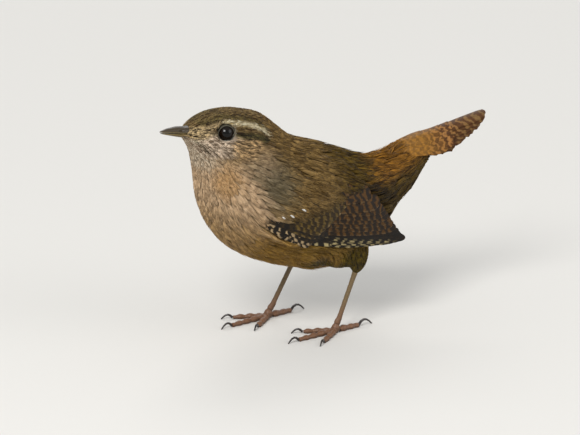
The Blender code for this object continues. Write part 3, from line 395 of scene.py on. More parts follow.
class WREN_PG_bare(bpy.types.PropertyGroup):
    """Colours of the bare parts."""

    bill_upper: colour("Upper bill", "#362912", "Dark horn of the upper bill")
    bill_edge: colour("Bill edge", "#7d6b3a", "Pale horn of the cutting edges and the lower bill")
    bill_lower: colour("Lower bill", "#574420", "Olive horn of the lower bill")
    gape: colour("Gape", "#816739", "Yellowish skin at the corner of the mouth")
    leg: colour("Leg", "#685434", "Pinkish brown shank")
    toe: colour("Toe", "#6e4b31", "Brown toes")
    claw: colour("Claw", "#2e221a", "Dark horn claws")
    lid: colour("Eyelid", "#423d2e", "Grey bare rim of the eye")
    iris: colour("Iris", "#120a05", "Very dark brown iris")


class WREN_PG_stage(bpy.types.PropertyGroup):
    """Floor and lights."""

    floor: colour("Floor", "#d8d5cf", "Pale paper floor")
    key_power: FloatProperty(
        name="Key light",
        description="Power of the large soft light above the camera's left",
        default=15.0,
        unit="POWER",
    )
    fill_power: FloatProperty(
        name="Fill light",
        description="Power of the soft light on the camera's right",
        default=4.0,
        unit="POWER",
    )
    rim_power: FloatProperty(
        name="Back light",
        description="Power of the soft light behind and above the bird",
        default=4.0,
        unit="POWER",
    )
    sky: FloatProperty(
        name="Room light",
        description="Strength of the even light of the room",
        default=0.60,
        min=0.0,
    )


def smooth_step(low, high, value):
    share = np.clip((value - low) / (high - low), 0.0, 1.0)
    return share * share * (3.0 - 2.0 * share)


def mix(a, b, share):
    return a + (b - a) * share


def unit(vectors):
    return vectors / np.maximum(np.linalg.norm(vectors, axis=-1, keepdims=True), 1e-9)


def dot(a, b):
    return (a * b).sum(-1, keepdims=True)


def right_side(points):
    """The same places on the bird's right side, where the tables' own places are."""
    sided = points.copy()
    sided[..., 1] = np.abs(sided[..., 1])
    return sided


def head_plane(points):
    """Places with the head's turn undone: x, distance from the midline, z."""
    share = smooth_step(HEAD_PIVOT_X + 6.0, HEAD_PIVOT_X - 6.0, points[:, 0])
    angle = -HEAD_TURN * share
    x, y = points[:, 0] - HEAD_PIVOT_X, points[:, 1]
    along = x * np.cos(angle) - y * np.sin(angle) + HEAD_PIVOT_X
    across = x * np.sin(angle) + y * np.cos(angle)
    return np.stack((along, np.abs(across), points[:, 2]), axis=1)


def head_turned(point):
    """A place or direction from the head's own plane, carried round by the head's turn."""
    turn = Matrix.Rotation(HEAD_TURN, 3, "Z")
    pivot = Vector((HEAD_PIVOT_X, 0.0, 0.0))
    return turn @ (Vector(point) - pivot) + pivot


def eye_place(side):
    """Centre of an eyeball and the direction it looks in."""
    x, y, z = EYE_AT
    centre = head_turned((x, side * y, z))
    look = Vector((-math.sin(EYE_FORWARD_TURN), side * math.cos(EYE_FORWARD_TURN), 0.08))
    ahead = head_turned(Vector((x, side * y, z)) + look)
    return centre, (ahead - centre).normalized()


def line_distance(x, z, line):
    """Distance in the (x, z) plane from a line through a few places."""
    best = np.full(x.shape, np.inf)
    for (ax, az), (bx, bz) in zip(line, line[1:]):
        dx, dz = bx - ax, bz - az
        share = np.clip(((x - ax) * dx + (z - az) * dz) / (dx * dx + dz * dz), 0.0, 1.0)
        best = np.minimum(best, np.hypot(x - ax - dx * share, z - az - dz * share))
    return best


def band(x, z, line, half_width, softness):
    away = line_distance(x, z, line)
    return 1.0 - smooth_step(half_width - softness, half_width + softness, away)


def blob(points, centre, radii, softness=0.5):
    """A soft ellipsoid mask."""
    reach = np.sqrt((((points - centre) / radii) ** 2).sum(1))
    return 1.0 - smooth_step(1.0 - softness, 1.0 + softness, reach)


def markings(points):
    """Light and dark shade of the plumage at each place, and how strongly it is barred."""
    tone = bpy.context.scene.wren_plumage
    sided = right_side(points)
    x, y, z = sided.T
    head = head_plane(points)
    hx, _, hz = head.T
    light = np.tile(np.array(tone.mantle_light), (len(points), 1))
    dark = np.tile(np.array(tone.mantle_dark), (len(points), 1))
    bars = np.full(len(points), 0.4)

    def lay(name, weight, barring):
        share = np.clip(weight, 0.0, 1.0)[:, None]
        light[:] = mix(light, np.array(getattr(tone, name + "_light")), share)
        dark[:] = mix(dark, np.array(getattr(tone, name + "_dark")), share)
        bars[:] = mix(bars, barring, share[:, 0])

    lay("back", smooth_step(2.0, 12.0, x), 0.45)
    lay("rump", smooth_step(16.0, 25.0, x) * smooth_step(36.0, 43.0, z), 0.35)
    lay("rump", smooth_step(26.0, 31.0, x) * smooth_step(38.0, 43.0, z), 0.9)
    lay("shoulder", blob(sided, (-15.0, 13.0, 44.0), (8.0, 8.0, 9.0)), 0.15)
    under = 1.0 - smooth_step(-3.5, 3.5, z - np.interp(x, FLANK_LINE_X, FLANK_LINE_Z))
    lay("flank", under * smooth_step(-14.0, -4.0, x), 0.30)
    lay("breast", under * (1.0 - smooth_step(-18.0, -8.0, x)), 0.0)
    # The belly's tones are somewhat darker than its own olive buff, as painted shade on the underside;
    # this mask lays them on the low body.
    low = 1.0 - smooth_step(22.0, 34.0, z + 0.25 * x)
    low = low * mix(0.6, 1.0, smooth_step(-24.0, -12.0, x))
    off_flank = 1.0 - 0.6 * smooth_step(8.0, 14.0, y) * smooth_step(-12.0, 0.0, x)
    lay("belly", under * low * off_flank, 0.1)
    lay("patch", blob(sided, (-26.5, 11.5, 46.0), (4.5, 5.0, 5.0)), 0.0)
    below_tail = 1.0 - smooth_step(36.0, 42.0, z - 0.6 * (x - 26.0))
    lay("undertail", smooth_step(16.0, 24.0, x) * below_tail, 0.75)
    thigh = np.maximum(
        blob(sided, (12.0, 9.6, 18.0), (5.5, 4.5, 6.5), 0.3),
        blob(sided, (2.2, 9.4, 17.0), (4.5, 3.5, 4.0), 0.3),
    )
    lay("thigh", thigh, 0.6)
    lay("breast", blob(sided, (-17.0, 10.5, 51.0), (6.0, 5.0, 5.0), 0.5) * 0.4, 0.1)
    on_head = 1.0 - smooth_step(-14.0, -9.0, x)
    cheek_top = np.interp(hx, (-38.0, -33.0, -20.0, -12.0), (61.6, 61.4, 60.0, 55.0))
    upper = smooth_step(-1.0, 1.0, hz - cheek_top)
    lay("crown", on_head * upper, 0.2)
    cheek = blob(head, (-28.5, 7.0, 57.2), (7.0, 9.0, 3.6), 0.25) * (1.0 - upper)
    chin = (1.0 - smooth_step(-33.5, -27.0, hx)) * smooth_step(46.0, 52.0, hz)
    lay("throat", on_head * (1.0 - upper) * chin, 0.0)
    lay("cheek", cheek, 0.0)
    lay("ear", blob(head, (-21.0, 8.6, 56.0), (5.0, 6.0, 3.0), 0.4), 0.1)
    lay("stripe", band(hx, hz, CROWN_LINE, 0.5, 0.5) * 0.55 * on_head, 0.0)
    lay("lores", band(hx, hz, FORE_BROW_LINE, 0.6, 0.4) * 0.9 * on_head, 0.0)
    lay("brow", band(hx, hz, BROW_LINE, 0.62, 0.30) * on_head, 0.0)
    lay("stripe", band(hx, hz, EYE_LINE, 0.85, 0.45) * 0.85 * on_head, 0.0)
    lay("lores", blob(head, (-33.2, 3.0, 60.9), (4.2, 4.0, 1.9), 0.3), 0.0)
    lay("stripe", band(hx, hz, LORAL_LINE, 0.25, 0.3) * 0.65 * on_head, 0.0)
    lay("stripe", band(hx, hz, MALAR_LINE, 0.20, 0.25) * 0.75 * on_head, 0.0)
    lay("stripe", band(hx, hz, SECOND_MALAR_LINE, 0.12, 0.25) * 0.6 * on_head, 0.0)
    # Painted shade: the feathers in the gap between rump and folded wing are darkened, where rump and wing
    # shade them.
    painted_gap_shade = 1.0 - 0.65 * blob(sided, (19.0, 8.0, 36.0), (6.0, 5.0, 4.5), 0.5)[:, None]
    light *= painted_gap_shade
    dark *= painted_gap_shade
    ring = np.linalg.norm(head - EYE_AT, axis=1)
    behind_eye = smooth_step(-27.5, -25.5, hx - 0.8 * (hz - 60.4))
    lay("ring", smooth_step(3.5, 2.9, ring) * behind_eye * 0.8, 0.0)
    return light, dark, bars


def lie_field(points):
    """Flow, length and depth of the coat at each place, and the nearest named lie."""
    gaps = ((right_side(points)[:, None, :] - LIE_AT[None]) ** 2).sum(-1)
    weights = 1.0 / (gaps + LIE_BLEND**2) ** 2
    weights /= weights.sum(1, keepdims=True)
    flow = weights @ LIE_FLOW
    flow[:, 1] *= np.sign(points[:, 1])
    return unit(flow), weights @ LIE_SIZES, gaps.argmin(1)


def plan_points(mesh):
    """A mesh's vertices in plan millimetres."""
    flat = np.empty(len(mesh.vertices) * 3, np.float32)
    mesh.vertices.foreach_get("co", flat)
    return flat.reshape(-1, 3).astype(float) / MM - PLAN_AT


def triangles(mesh):
    mesh.calc_loop_triangles()
    flat = np.empty(len(mesh.loop_triangles) * 3, np.int32)
    mesh.loop_triangles.foreach_get("vertices", flat)
    return flat.reshape(-1, 3)


def tree_of(mesh):
    return BVHTree.FromPolygons(plan_points(mesh).tolist(), triangles(mesh).tolist())


def linked(name, data):
    """A new object in the scene."""
    obj = bpy.data.objects.new(name, data)
    bpy.context.scene.collection.objects.link(obj)
    return obj


def mesh_object(name, points, faces, tints=None, bake=None, maps=None, extra=None):
    """A piece from plan points and triangles, with a colour for each point and its maps."""
    mesh = bpy.data.meshes.new(name)
    mesh.vertices.add(len(points))
    mesh.vertices.foreach_set("co", ((points + PLAN_AT) * MM).astype(np.float32).ravel())
    mesh.loops.add(len(faces) * 3)
    mesh.loops.foreach_set("vertex_index", faces.astype(np.int32).ravel())
    mesh.polygons.add(len(faces))
    mesh.polygons.foreach_set("loop_start", np.arange(len(faces), dtype=np.int32) * 3)
    mesh.update(calc_edges=True)
    mesh.shade_smooth()
    for layer, values in {"Tint": tints, **(extra or {})}.items():
        if values is not None:
            paint(mesh, layer, values)
    for layer, places in {"OFBake": bake, **(maps or {})}.items():
        if places is not None:
            uv = mesh.uv_layers.new(name=layer)
            uv.data.foreach_set("uv", places[faces.ravel()].astype(np.float32).ravel())
    return linked(name, mesh)


def paint(mesh, layer, values):
    """Writes a colour or a number to each vertex."""
    if values.ndim == 1:
        made = mesh.attributes.new(layer, "FLOAT", "POINT")
        made.data.foreach_set("value", values.astype(np.float32))
        return
    made = mesh.color_attributes.new(layer, "FLOAT_COLOR", "POINT")
    opaque = np.concatenate((values, np.ones((len(values), 1))), axis=1)
    made.data.foreach_set("color", opaque.astype(np.float32).ravel())


def finish_piece(obj, look, nodes=()):
    """Gives a piece its material and its body, and hides the nodes that it stands for."""
    obj.data.materials.clear()
    obj.data.materials.append(look)
    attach(obj, "root")
    if nodes:
        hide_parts(*nodes)
    return obj


def baked_modifier(obj):
    """Applies an object's modifiers to its mesh."""
    graph = bpy.context.evaluated_depsgraph_get()
    mesh = bpy.data.meshes.new_from_object(obj.evaluated_get(graph))
    obj.modifiers.clear()
    obj.data = mesh


def smoothed(bm, rounds):
    """Evens out a mesh a few times over."""
    axes = {"use_axis_x": True, "use_axis_y": True, "use_axis_z": True}
    for _ in range(rounds):
        bmesh.ops.smooth_vert(bm, verts=bm.verts, factor=0.5, **axes)


def remeshed_copy(name, nodes, voxel, closing, rounds, trim=None, proud=0.0):
    """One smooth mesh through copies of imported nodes, grown over their seams and shrunk back."""
    bm = bmesh.new()
    for node in nodes:
        bm.from_mesh(NODES[node].data)
    if trim:
        trim(bm)
    bmesh.ops.remove_doubles(bm, verts=bm.verts, dist=0.001 * MM)
    bm.normal_update()
    for vert in bm.verts:
        vert.co += vert.normal * (closing * MM)
    mesh = bpy.data.meshes.new(name)
    bm.to_mesh(mesh)
    bm.free()
    obj = linked(name, mesh)
    modifier = obj.modifiers.new("even faces", "REMESH")
    modifier.mode = "VOXEL"
    modifier.voxel_size = voxel * MM
    baked_modifier(obj)
    bm = bmesh.new()
    bm.from_mesh(obj.data)
    smoothed(bm, rounds)
    bm.normal_update()
    for vert in bm.verts:
        vert.co -= vert.normal * ((closing - proud) * MM)
    bm.to_mesh(obj.data)
    bm.free()
    obj.data.shade_smooth()
    return obj


def vertex_normals(mesh):
    flat = np.empty(len(mesh.vertices) * 3, np.float32)
    mesh.vertices.foreach_get("normal", flat)
    return flat.reshape(-1, 3).astype(float)


def move_vertices(mesh, points):
    mesh.vertices.foreach_set("co", ((points + PLAN_AT) * MM).astype(np.float32).ravel())
    mesh.update()


def fill_sockets(tree, node, sockets):
    """Links each input that is given a socket, and sets the others."""
    for key, value in sockets.items():
        if isinstance(value, bpy.types.NodeSocket):
            tree.links.new(value, node.inputs[key])
        else:
            node.inputs[key].default_value = value


def add_node(tree, kind, settings=None, sockets=None):
    """Adds a shader node with its settings, input values and links."""
    node = tree.nodes.new(kind)
    for key, value in (settings or {}).items():
        setattr(node, key, value)
    fill_sockets(tree, node, sockets or {})
    return node


def new_material(name):
    """A material, its tree and shader, and the object's own coordinates in millimetres."""
    made = bpy.data.materials.new(name)
    made.use_nodes = True
    tree = made.node_tree
    coordinates = add_node(tree, "ShaderNodeTexCoord").outputs["Object"]
    scaled = {0: coordinates, 3: 1.0 / MM}
    place = add_node(tree, "ShaderNodeVectorMath", {"operation": "SCALE"}, scaled).outputs[0]
    return made, tree, tree.nodes["Principled BSDF"], place


def darkened(tree, source, noise, low, high):
    """A colour multiplied by a noise that runs between two factors."""
    factors = {"Value": noise, "To Min": low, "To Max": high}
    level = add_node(tree, "ShaderNodeMapRange", None, factors).outputs[0]
    multiply = {"data_type": "RGBA", "blend_type": "MULTIPLY", "clamp_result": True}
    return add_node(tree, "ShaderNodeMix", multiply, {0: 1.0, 6: source, 7: level}).outputs[2]


def flecked(tree, source, place, size, low, high, detail=3.0):
    """A colour made darker and lighter by blotches about so many millimetres across."""
    scale = {"Vector": place, "Scale": 1.0 / size, "Detail": detail}
    noise = add_node(tree, "ShaderNodeTexNoise", None, scale).outputs["Fac"]
    return darkened(tree, source, noise, low, high)


def plumage_material():
    """Body feathers: loose keratin barbs, grown and preened, so matt with a faint soft sheen.

    The tint painted on each barb carries the markings, and a fine noise breaks it up, as dust,
    wear and the barbs' own uneven pigment do.
    """
    made, tree, shader, place = new_material("plumage barbs")
    tint = add_node(tree, "ShaderNodeAttribute", {"attribute_name": "Tint"}).outputs["Color"]
    fine = flecked(tree, tint, place, 0.35, 0.88, 1.12)
    surface = {
        "Base Color": flecked(tree, fine, place, 4.0, 0.90, 1.10, 2.0),
        "Roughness": 0.62,
        "Specular IOR Level": 0.12,
        "Sheen Weight": 0.03,
        "Sheen Roughness": 0.5,
    }
    fill_sockets(tree, shader, surface)
    return made
# Painted shade: the tint is darkened down to 0.62 in the creases between the scutes.


def skin_material():
    """Skin hidden under down: matt, in the shade of the feathers above it and darker."""
    made, tree, shader, place = new_material("downy skin")
    tint = add_node(tree, "ShaderNodeAttribute", {"attribute_name": "Tint"}).outputs["Color"]
    pores = {"Vector": place, "Scale": 1.0 / 0.35, "Detail": 3.0}
    height = add_node(tree, "ShaderNodeTexNoise", None, pores).outputs["Fac"]
    down = {"Strength": 0.6, "Distance": 0.2 * MM, "Height": height}
    surface = {
        "Base Color": flecked(tree, tint, place, 0.4, 0.45, 1.0),
        "Roughness": 0.9,
        "Specular IOR Level": 0.15,
        "Normal": add_node(tree, "ShaderNodeBump", None, down).outputs[0],
    }
    fill_sockets(tree, shader, surface)
    return made


def vane_material():
    """Flight and tail feathers: flat keratin vanes, zipped barbs on a horny shaft.

    Barbs show as fine slanted ridges, drawn about three times coarser than the real 0.1 mm. Bars
    of pale and dark pigment cross each vane, and wander along it by up to about a bar.
    """
    made, tree, shader, place = new_material("vane keratin")
    vane = add_node(tree, "ShaderNodeUVMap", {"uv_map": "Vane"}).outputs[0]
    parts = add_node(tree, "ShaderNodeSeparateXYZ", None, {"Vector": vane})
    drift = {"Vector": place, "Scale": 1.0 / 1.5, "Detail": 4.0}
    values = {
        "u": parts.outputs[0],
        "v": parts.outputs[1],
        "noise": add_node(tree, "ShaderNodeTexNoise", None, drift).outputs["Fac"],
    }
    for name in ("Phase", "Period"):
        attribute = add_node(tree, "ShaderNodeAttribute", {"attribute_name": name})
        values[name] = attribute.outputs["Fac"]
    for result, operation, first, second in VANE_SUMS:
        terms = {0: values[first], 1: values.get(second, second)}
        step = add_node(tree, "ShaderNodeMath", {"operation": operation}, terms)
        values[result] = step.outputs[0]
    edges = {"Value": values["wave"], "From Min": -0.45, "From Max": 0.95}
    smooth = {"interpolation_type": "SMOOTHSTEP"}
    bar = add_node(tree, "ShaderNodeMapRange", smooth, edges).outputs[0]
    dark, pale = (
        add_node(tree, "ShaderNodeAttribute", {"attribute_name": name}).outputs["Color"]
        for name in ("Dark", "Pale")
    )
    shades = {0: bar, 6: dark, 7: pale}
    barred = add_node(tree, "ShaderNodeMix", {"data_type": "RGBA"}, shades).outputs[2]
    ridges = {"Strength": 0.35, "Distance": 0.05 * MM, "Height": values["barbs"]}
    surface = {
        "Base Color": flecked(tree, barred, place, 0.6, 0.45, 1.5),
        "Roughness": 0.5,
        "Specular IOR Level": 0.2,
        "Sheen Weight": 0.02,
        "Normal": add_node(tree, "ShaderNodeBump", None, ridges).outputs[0],
    }
    fill_sockets(tree, shader, surface)
    return made


def horn_material(name, roughness, streak):
    """Bill and claws: hard keratin horn, grown in layers, so satin with faint long streaks."""
    made, tree, shader, place = new_material(name)
    tint = add_node(tree, "ShaderNodeAttribute", {"attribute_name": "Tint"}).outputs["Color"]
    drawn = {"Vector": place, "Scale": (0.18, 1.0, 1.0)}
    drawn_out = add_node(tree, "ShaderNodeMapping", None, drawn).outputs[0]
    layers = {"Vector": drawn_out, "Scale": 1.0 / streak, "Detail": 3.0}
    streaks = add_node(tree, "ShaderNodeTexNoise", None, layers).outputs["Fac"]
    wear = {"Vector": place, "Scale": 1.0 / 0.6, "Detail": 3.0}
    patches = add_node(tree, "ShaderNodeTexNoise", None, wear).outputs["Fac"]
    polish = {"Value": patches, "To Min": roughness - 0.08, "To Max": roughness + 0.12}
    ridges = {"Strength": 0.25, "Distance": 0.04 * MM, "Height": streaks}
    surface = {
        "Base Color": darkened(tree, tint, streaks, 0.65, 1.35),
        "Roughness": add_node(tree, "ShaderNodeMapRange", None, polish).outputs[0],
        "IOR": 1.54,
        "Normal": add_node(tree, "ShaderNodeBump", None, ridges).outputs[0],
    }
    fill_sockets(tree, shader, surface)
    return made


def scute_material():
    """Shanks and toes: thin leathery skin under horny scutes, dry and satin; their tint is darker in the
    creases as painted shade.
    """
    made, tree, shader, place = new_material("leg scutes")
    tint = add_node(tree, "ShaderNodeAttribute", {"attribute_name": "Tint"}).outputs["Color"]
    grain = {"Vector": place, "Scale": 1.0 / 0.3}
    cells = add_node(tree, "ShaderNodeTexVoronoi", {"feature": "DISTANCE_TO_EDGE"}, grain)
    creases = {"Strength": 0.3, "Distance": 0.05 * MM, "Height": cells.outputs["Distance"]}
    surface = {
        "Base Color": flecked(tree, tint, place, 0.5, 0.7, 1.3),
        "Roughness": 0.48,
        "Normal": add_node(tree, "ShaderNodeBump", None, creases).outputs[0],
    }
    fill_sockets(tree, shader, surface)
    return made


def lid_material():
    """Eyelids: bare wrinkled skin with minute scales, dry and matt against the wet eye."""
    made, tree, shader, place = new_material("lid skin")
    tint = add_node(tree, "ShaderNodeAttribute", {"attribute_name": "Tint"}).outputs["Color"]
    wrinkles = {"Vector": place, "Scale": 1.0 / 0.2, "Detail": 3.0}
    height = add_node(tree, "ShaderNodeTexNoise", None, wrinkles).outputs["Fac"]
    folds = {"Strength": 0.5, "Distance": 0.06 * MM, "Height": height}
    surface = {
        "Base Color": flecked(tree, tint, place, 0.25, 0.6, 1.3),
        "Roughness": 0.6,
        "Normal": add_node(tree, "ShaderNodeBump", None, folds).outputs[0],
    }
    fill_sockets(tree, shader, surface)
    return made


def eye_material():
    """Eyes: a clear wet cornea over a near-black iris, so one sharp highlight on darkness."""
    made, tree, shader, place = new_material("wet eye")
    tint = add_node(tree, "ShaderNodeAttribute", {"attribute_name": "Tint"}).outputs["Color"]
    surface = {
        "Base Color": flecked(tree, tint, place, 0.15, 0.6, 1.4),
        "Roughness": 0.4,
        "Specular IOR Level": 0.0,
        "Coat Weight": 1.0,
        "Coat Roughness": 0.02,
        "Coat IOR": 1.34,
    }
    fill_sockets(tree, shader, surface)
    return made


def floor_material(tone):
    """Floor: a sheet of matt studio paper, even but for its fine tooth."""
    made, tree, shader, place = new_material("studio paper")
    tooth = {"Vector": place, "Scale": 1.0 / 1.5, "Detail": 3.0}
    noise = add_node(tree, "ShaderNodeTexNoise", None, tooth).outputs["Fac"]
    shades = {0: noise, 6: (*(0.985 * channel for channel in tone), 1.0), 7: (*tone, 1.0)}
    surface = {
        "Base Color": add_node(tree, "ShaderNodeMix", {"data_type": "RGBA"}, shades).outputs[2],
        "Roughness": 0.9,
        "Specular IOR Level": 0.2,
    }
    fill_sockets(tree, shader, surface)
    return made


def pointed_bars(rings, tips):
    """Points and faces of closed bars, from rings (count by ring by corner) and a tip each."""
    count, steps, corners, _ = rings.shape
    block = np.concatenate((rings.reshape(count, -1, 3), tips[:, None]), axis=1)
    faces = [(0, k + 1, k) for k in range(1, corners - 1)]
    for ring in range(steps - 1):
        for corner in range(corners):
            a = ring * corners + corner
            b = ring * corners + (corner + 1) % corners
            faces += [(a, b, b + corners), (a, b + corners, a + corners)]
    last = (steps - 1) * corners
    faces += [(last + k, last + (k + 1) % corners, steps * corners) for k in range(corners)]
    starts = np.arange(count) * block.shape[1]
    return block.reshape(-1, 3), (np.array(faces)[None] + starts[:, None, None]).reshape(-1, 3)


def half_width(length):
    return WIDTH_LEAST + WIDTH_SHARE * length


def scatter(mesh, dice, density):
    """Evenly spread random places on a mesh with their normals, closer where feathers are short."""
    points, faces, normals = plan_points(mesh), triangles(mesh), vertex_normals(mesh)
    a, b, c = (points[faces[:, k]] for k in range(3))
    areas = 0.5 * np.linalg.norm(np.cross(b - a, c - a), axis=1)
    length = lie_field((a + b + c) / 3.0)[1][:, 0]
    wanted = density * COAT_LAYERS / (1.4 * half_width(length) * length)
    counts = np.floor(1.9 * areas * wanted + dice.random(len(faces))).astype(int)
    picked = dice.permutation(np.repeat(np.arange(len(faces)), counts))
    u, v = dice.random(len(picked)), dice.random(len(picked))
    over = u + v > 1.0
    u[over], v[over] = 1.0 - u[over], 1.0 - v[over]
    shares = np.stack((1.0 - u - v, u, v), axis=1)[:, :, None]
    places = (points[faces[picked]] * shares).sum(1)
    keep = spaced(places, EVEN_SPACING / np.sqrt(wanted[picked]))
    return places[keep], unit((normals[faces[picked]] * shares).sum(1))[keep]


def spaced(places, gaps):
    """Indexes of places kept so that none is nearer to an earlier one than its gap."""
    cell = gaps.max()
    cells, kept = {}, []
    keys = np.floor(places / cell).astype(int)
    for i, (place, gap, key) in enumerate(zip(places.tolist(), gaps.tolist(), keys.tolist())):
        x, y, z = key
        free = True
        for cx in (x - 1, x, x + 1):
            for cy in (y - 1, y, y + 1):
                for cz in (z - 1, z, z + 1):
                    for other in cells.get((cx, cy, cz), ()):
                        if math.dist(place, other) < gap:
                            free = False
        if free:
            cells.setdefault((x, y, z), []).append(place)
            kept.append(i)
    return np.array(kept)


def nearest(tree, points):
    """Nearest places and normals of a surface."""
    found = [tree.find_nearest(point) for point in points.tolist()]
    return np.array([hit[0] for hit in found]), np.array([hit[1] for hit in found])


def off_axis(points, centre, look):
    """Height of places along an eye's look, and the way and distance off its axis."""
    away = points - np.array(centre)
    height = away @ np.array(look)
    across = away - height[:, None] * np.array(look)
    return height, across, np.linalg.norm(across, axis=1)


def clear_of_eyes(points, room=EYE_CLEAR):
    """Pushes places that would cover an eye out to the edge of its lids."""
    for side in SIDES.values():
        height, across, reach = off_axis(points, *eye_place(side))
        inside = (reach < room) & (height > 0.0) & (height < EYE_DEPTH)
        push = across[inside] / np.maximum(reach[inside], 1e-6)[:, None]
        points[inside] += push * (room - reach[inside])[:, None]
    return points


def near_eye(points, room):
    inside = np.zeros(len(points), bool)
    for side in SIDES.values():
        height, _, reach = off_axis(points, *eye_place(side))
        inside |= (reach < room) & (height > -1.0) & (height < EYE_DEPTH)
    return inside


def sphere_map(points):
    """The coat's unwrap: direction from the middle of the body, as longitude and latitude."""
    away = unit(points - np.array((-8.0, 0.0, 40.0)))
    around = np.arctan2(away[:, 1], away[:, 0]) / (2.0 * math.pi)
    return np.stack((around, np.arcsin(away[:, 2]) / math.pi), axis=1)


def bake_places(roots):
    """Each root's place on the unwrap, spread over the whole of the piece's map."""
    places = sphere_map(roots)
    low, high = places.min(0), places.max(0)
    return 0.01 + 0.98 * (places - low) / np.maximum(high - low, 1e-6)


def value_noise(points):
    """Smooth noise from 0 to 1 on a lattice of unit cells."""
    cell = np.floor(points).astype(np.int64)
    share = points - cell
    share = share * share * (3.0 - 2.0 * share)
    total = np.zeros(points.shape[:-1])
    for corner in np.ndindex(2, 2, 2):
        x, y, z = np.moveaxis(cell + corner, -1, 0)
        mixed = (x * 73856093) ^ (y * 19349663) ^ (z * 83492791)
        mixed = (mixed ^ (mixed >> 13)) * 1274126177 & 0x7FFFFFFF
        total += np.where(corner, share, 1.0 - share).prod(-1) * ((mixed >> 8) & 1023) / 1023.0
    return total


def strand_tone(points, flow):
    """Noise drawn out along the lie, so that neighbouring feathers share long strands."""
    flat = right_side(points).reshape(-1, 3)
    closest = ((flat[:, None, :] - LIE_AT[None]) ** 2).sum(-1).argmin(1)
    middle = LIE_AT[closest].reshape(points.shape)
    middle[..., 1] *= np.sign(points[..., 1])
    local = points - middle
    along = dot(local, flow) * flow * (1.0 - 1.0 / STRAND_STRETCH)
    return value_noise((local - along) / STRAND_WIDTH + middle)


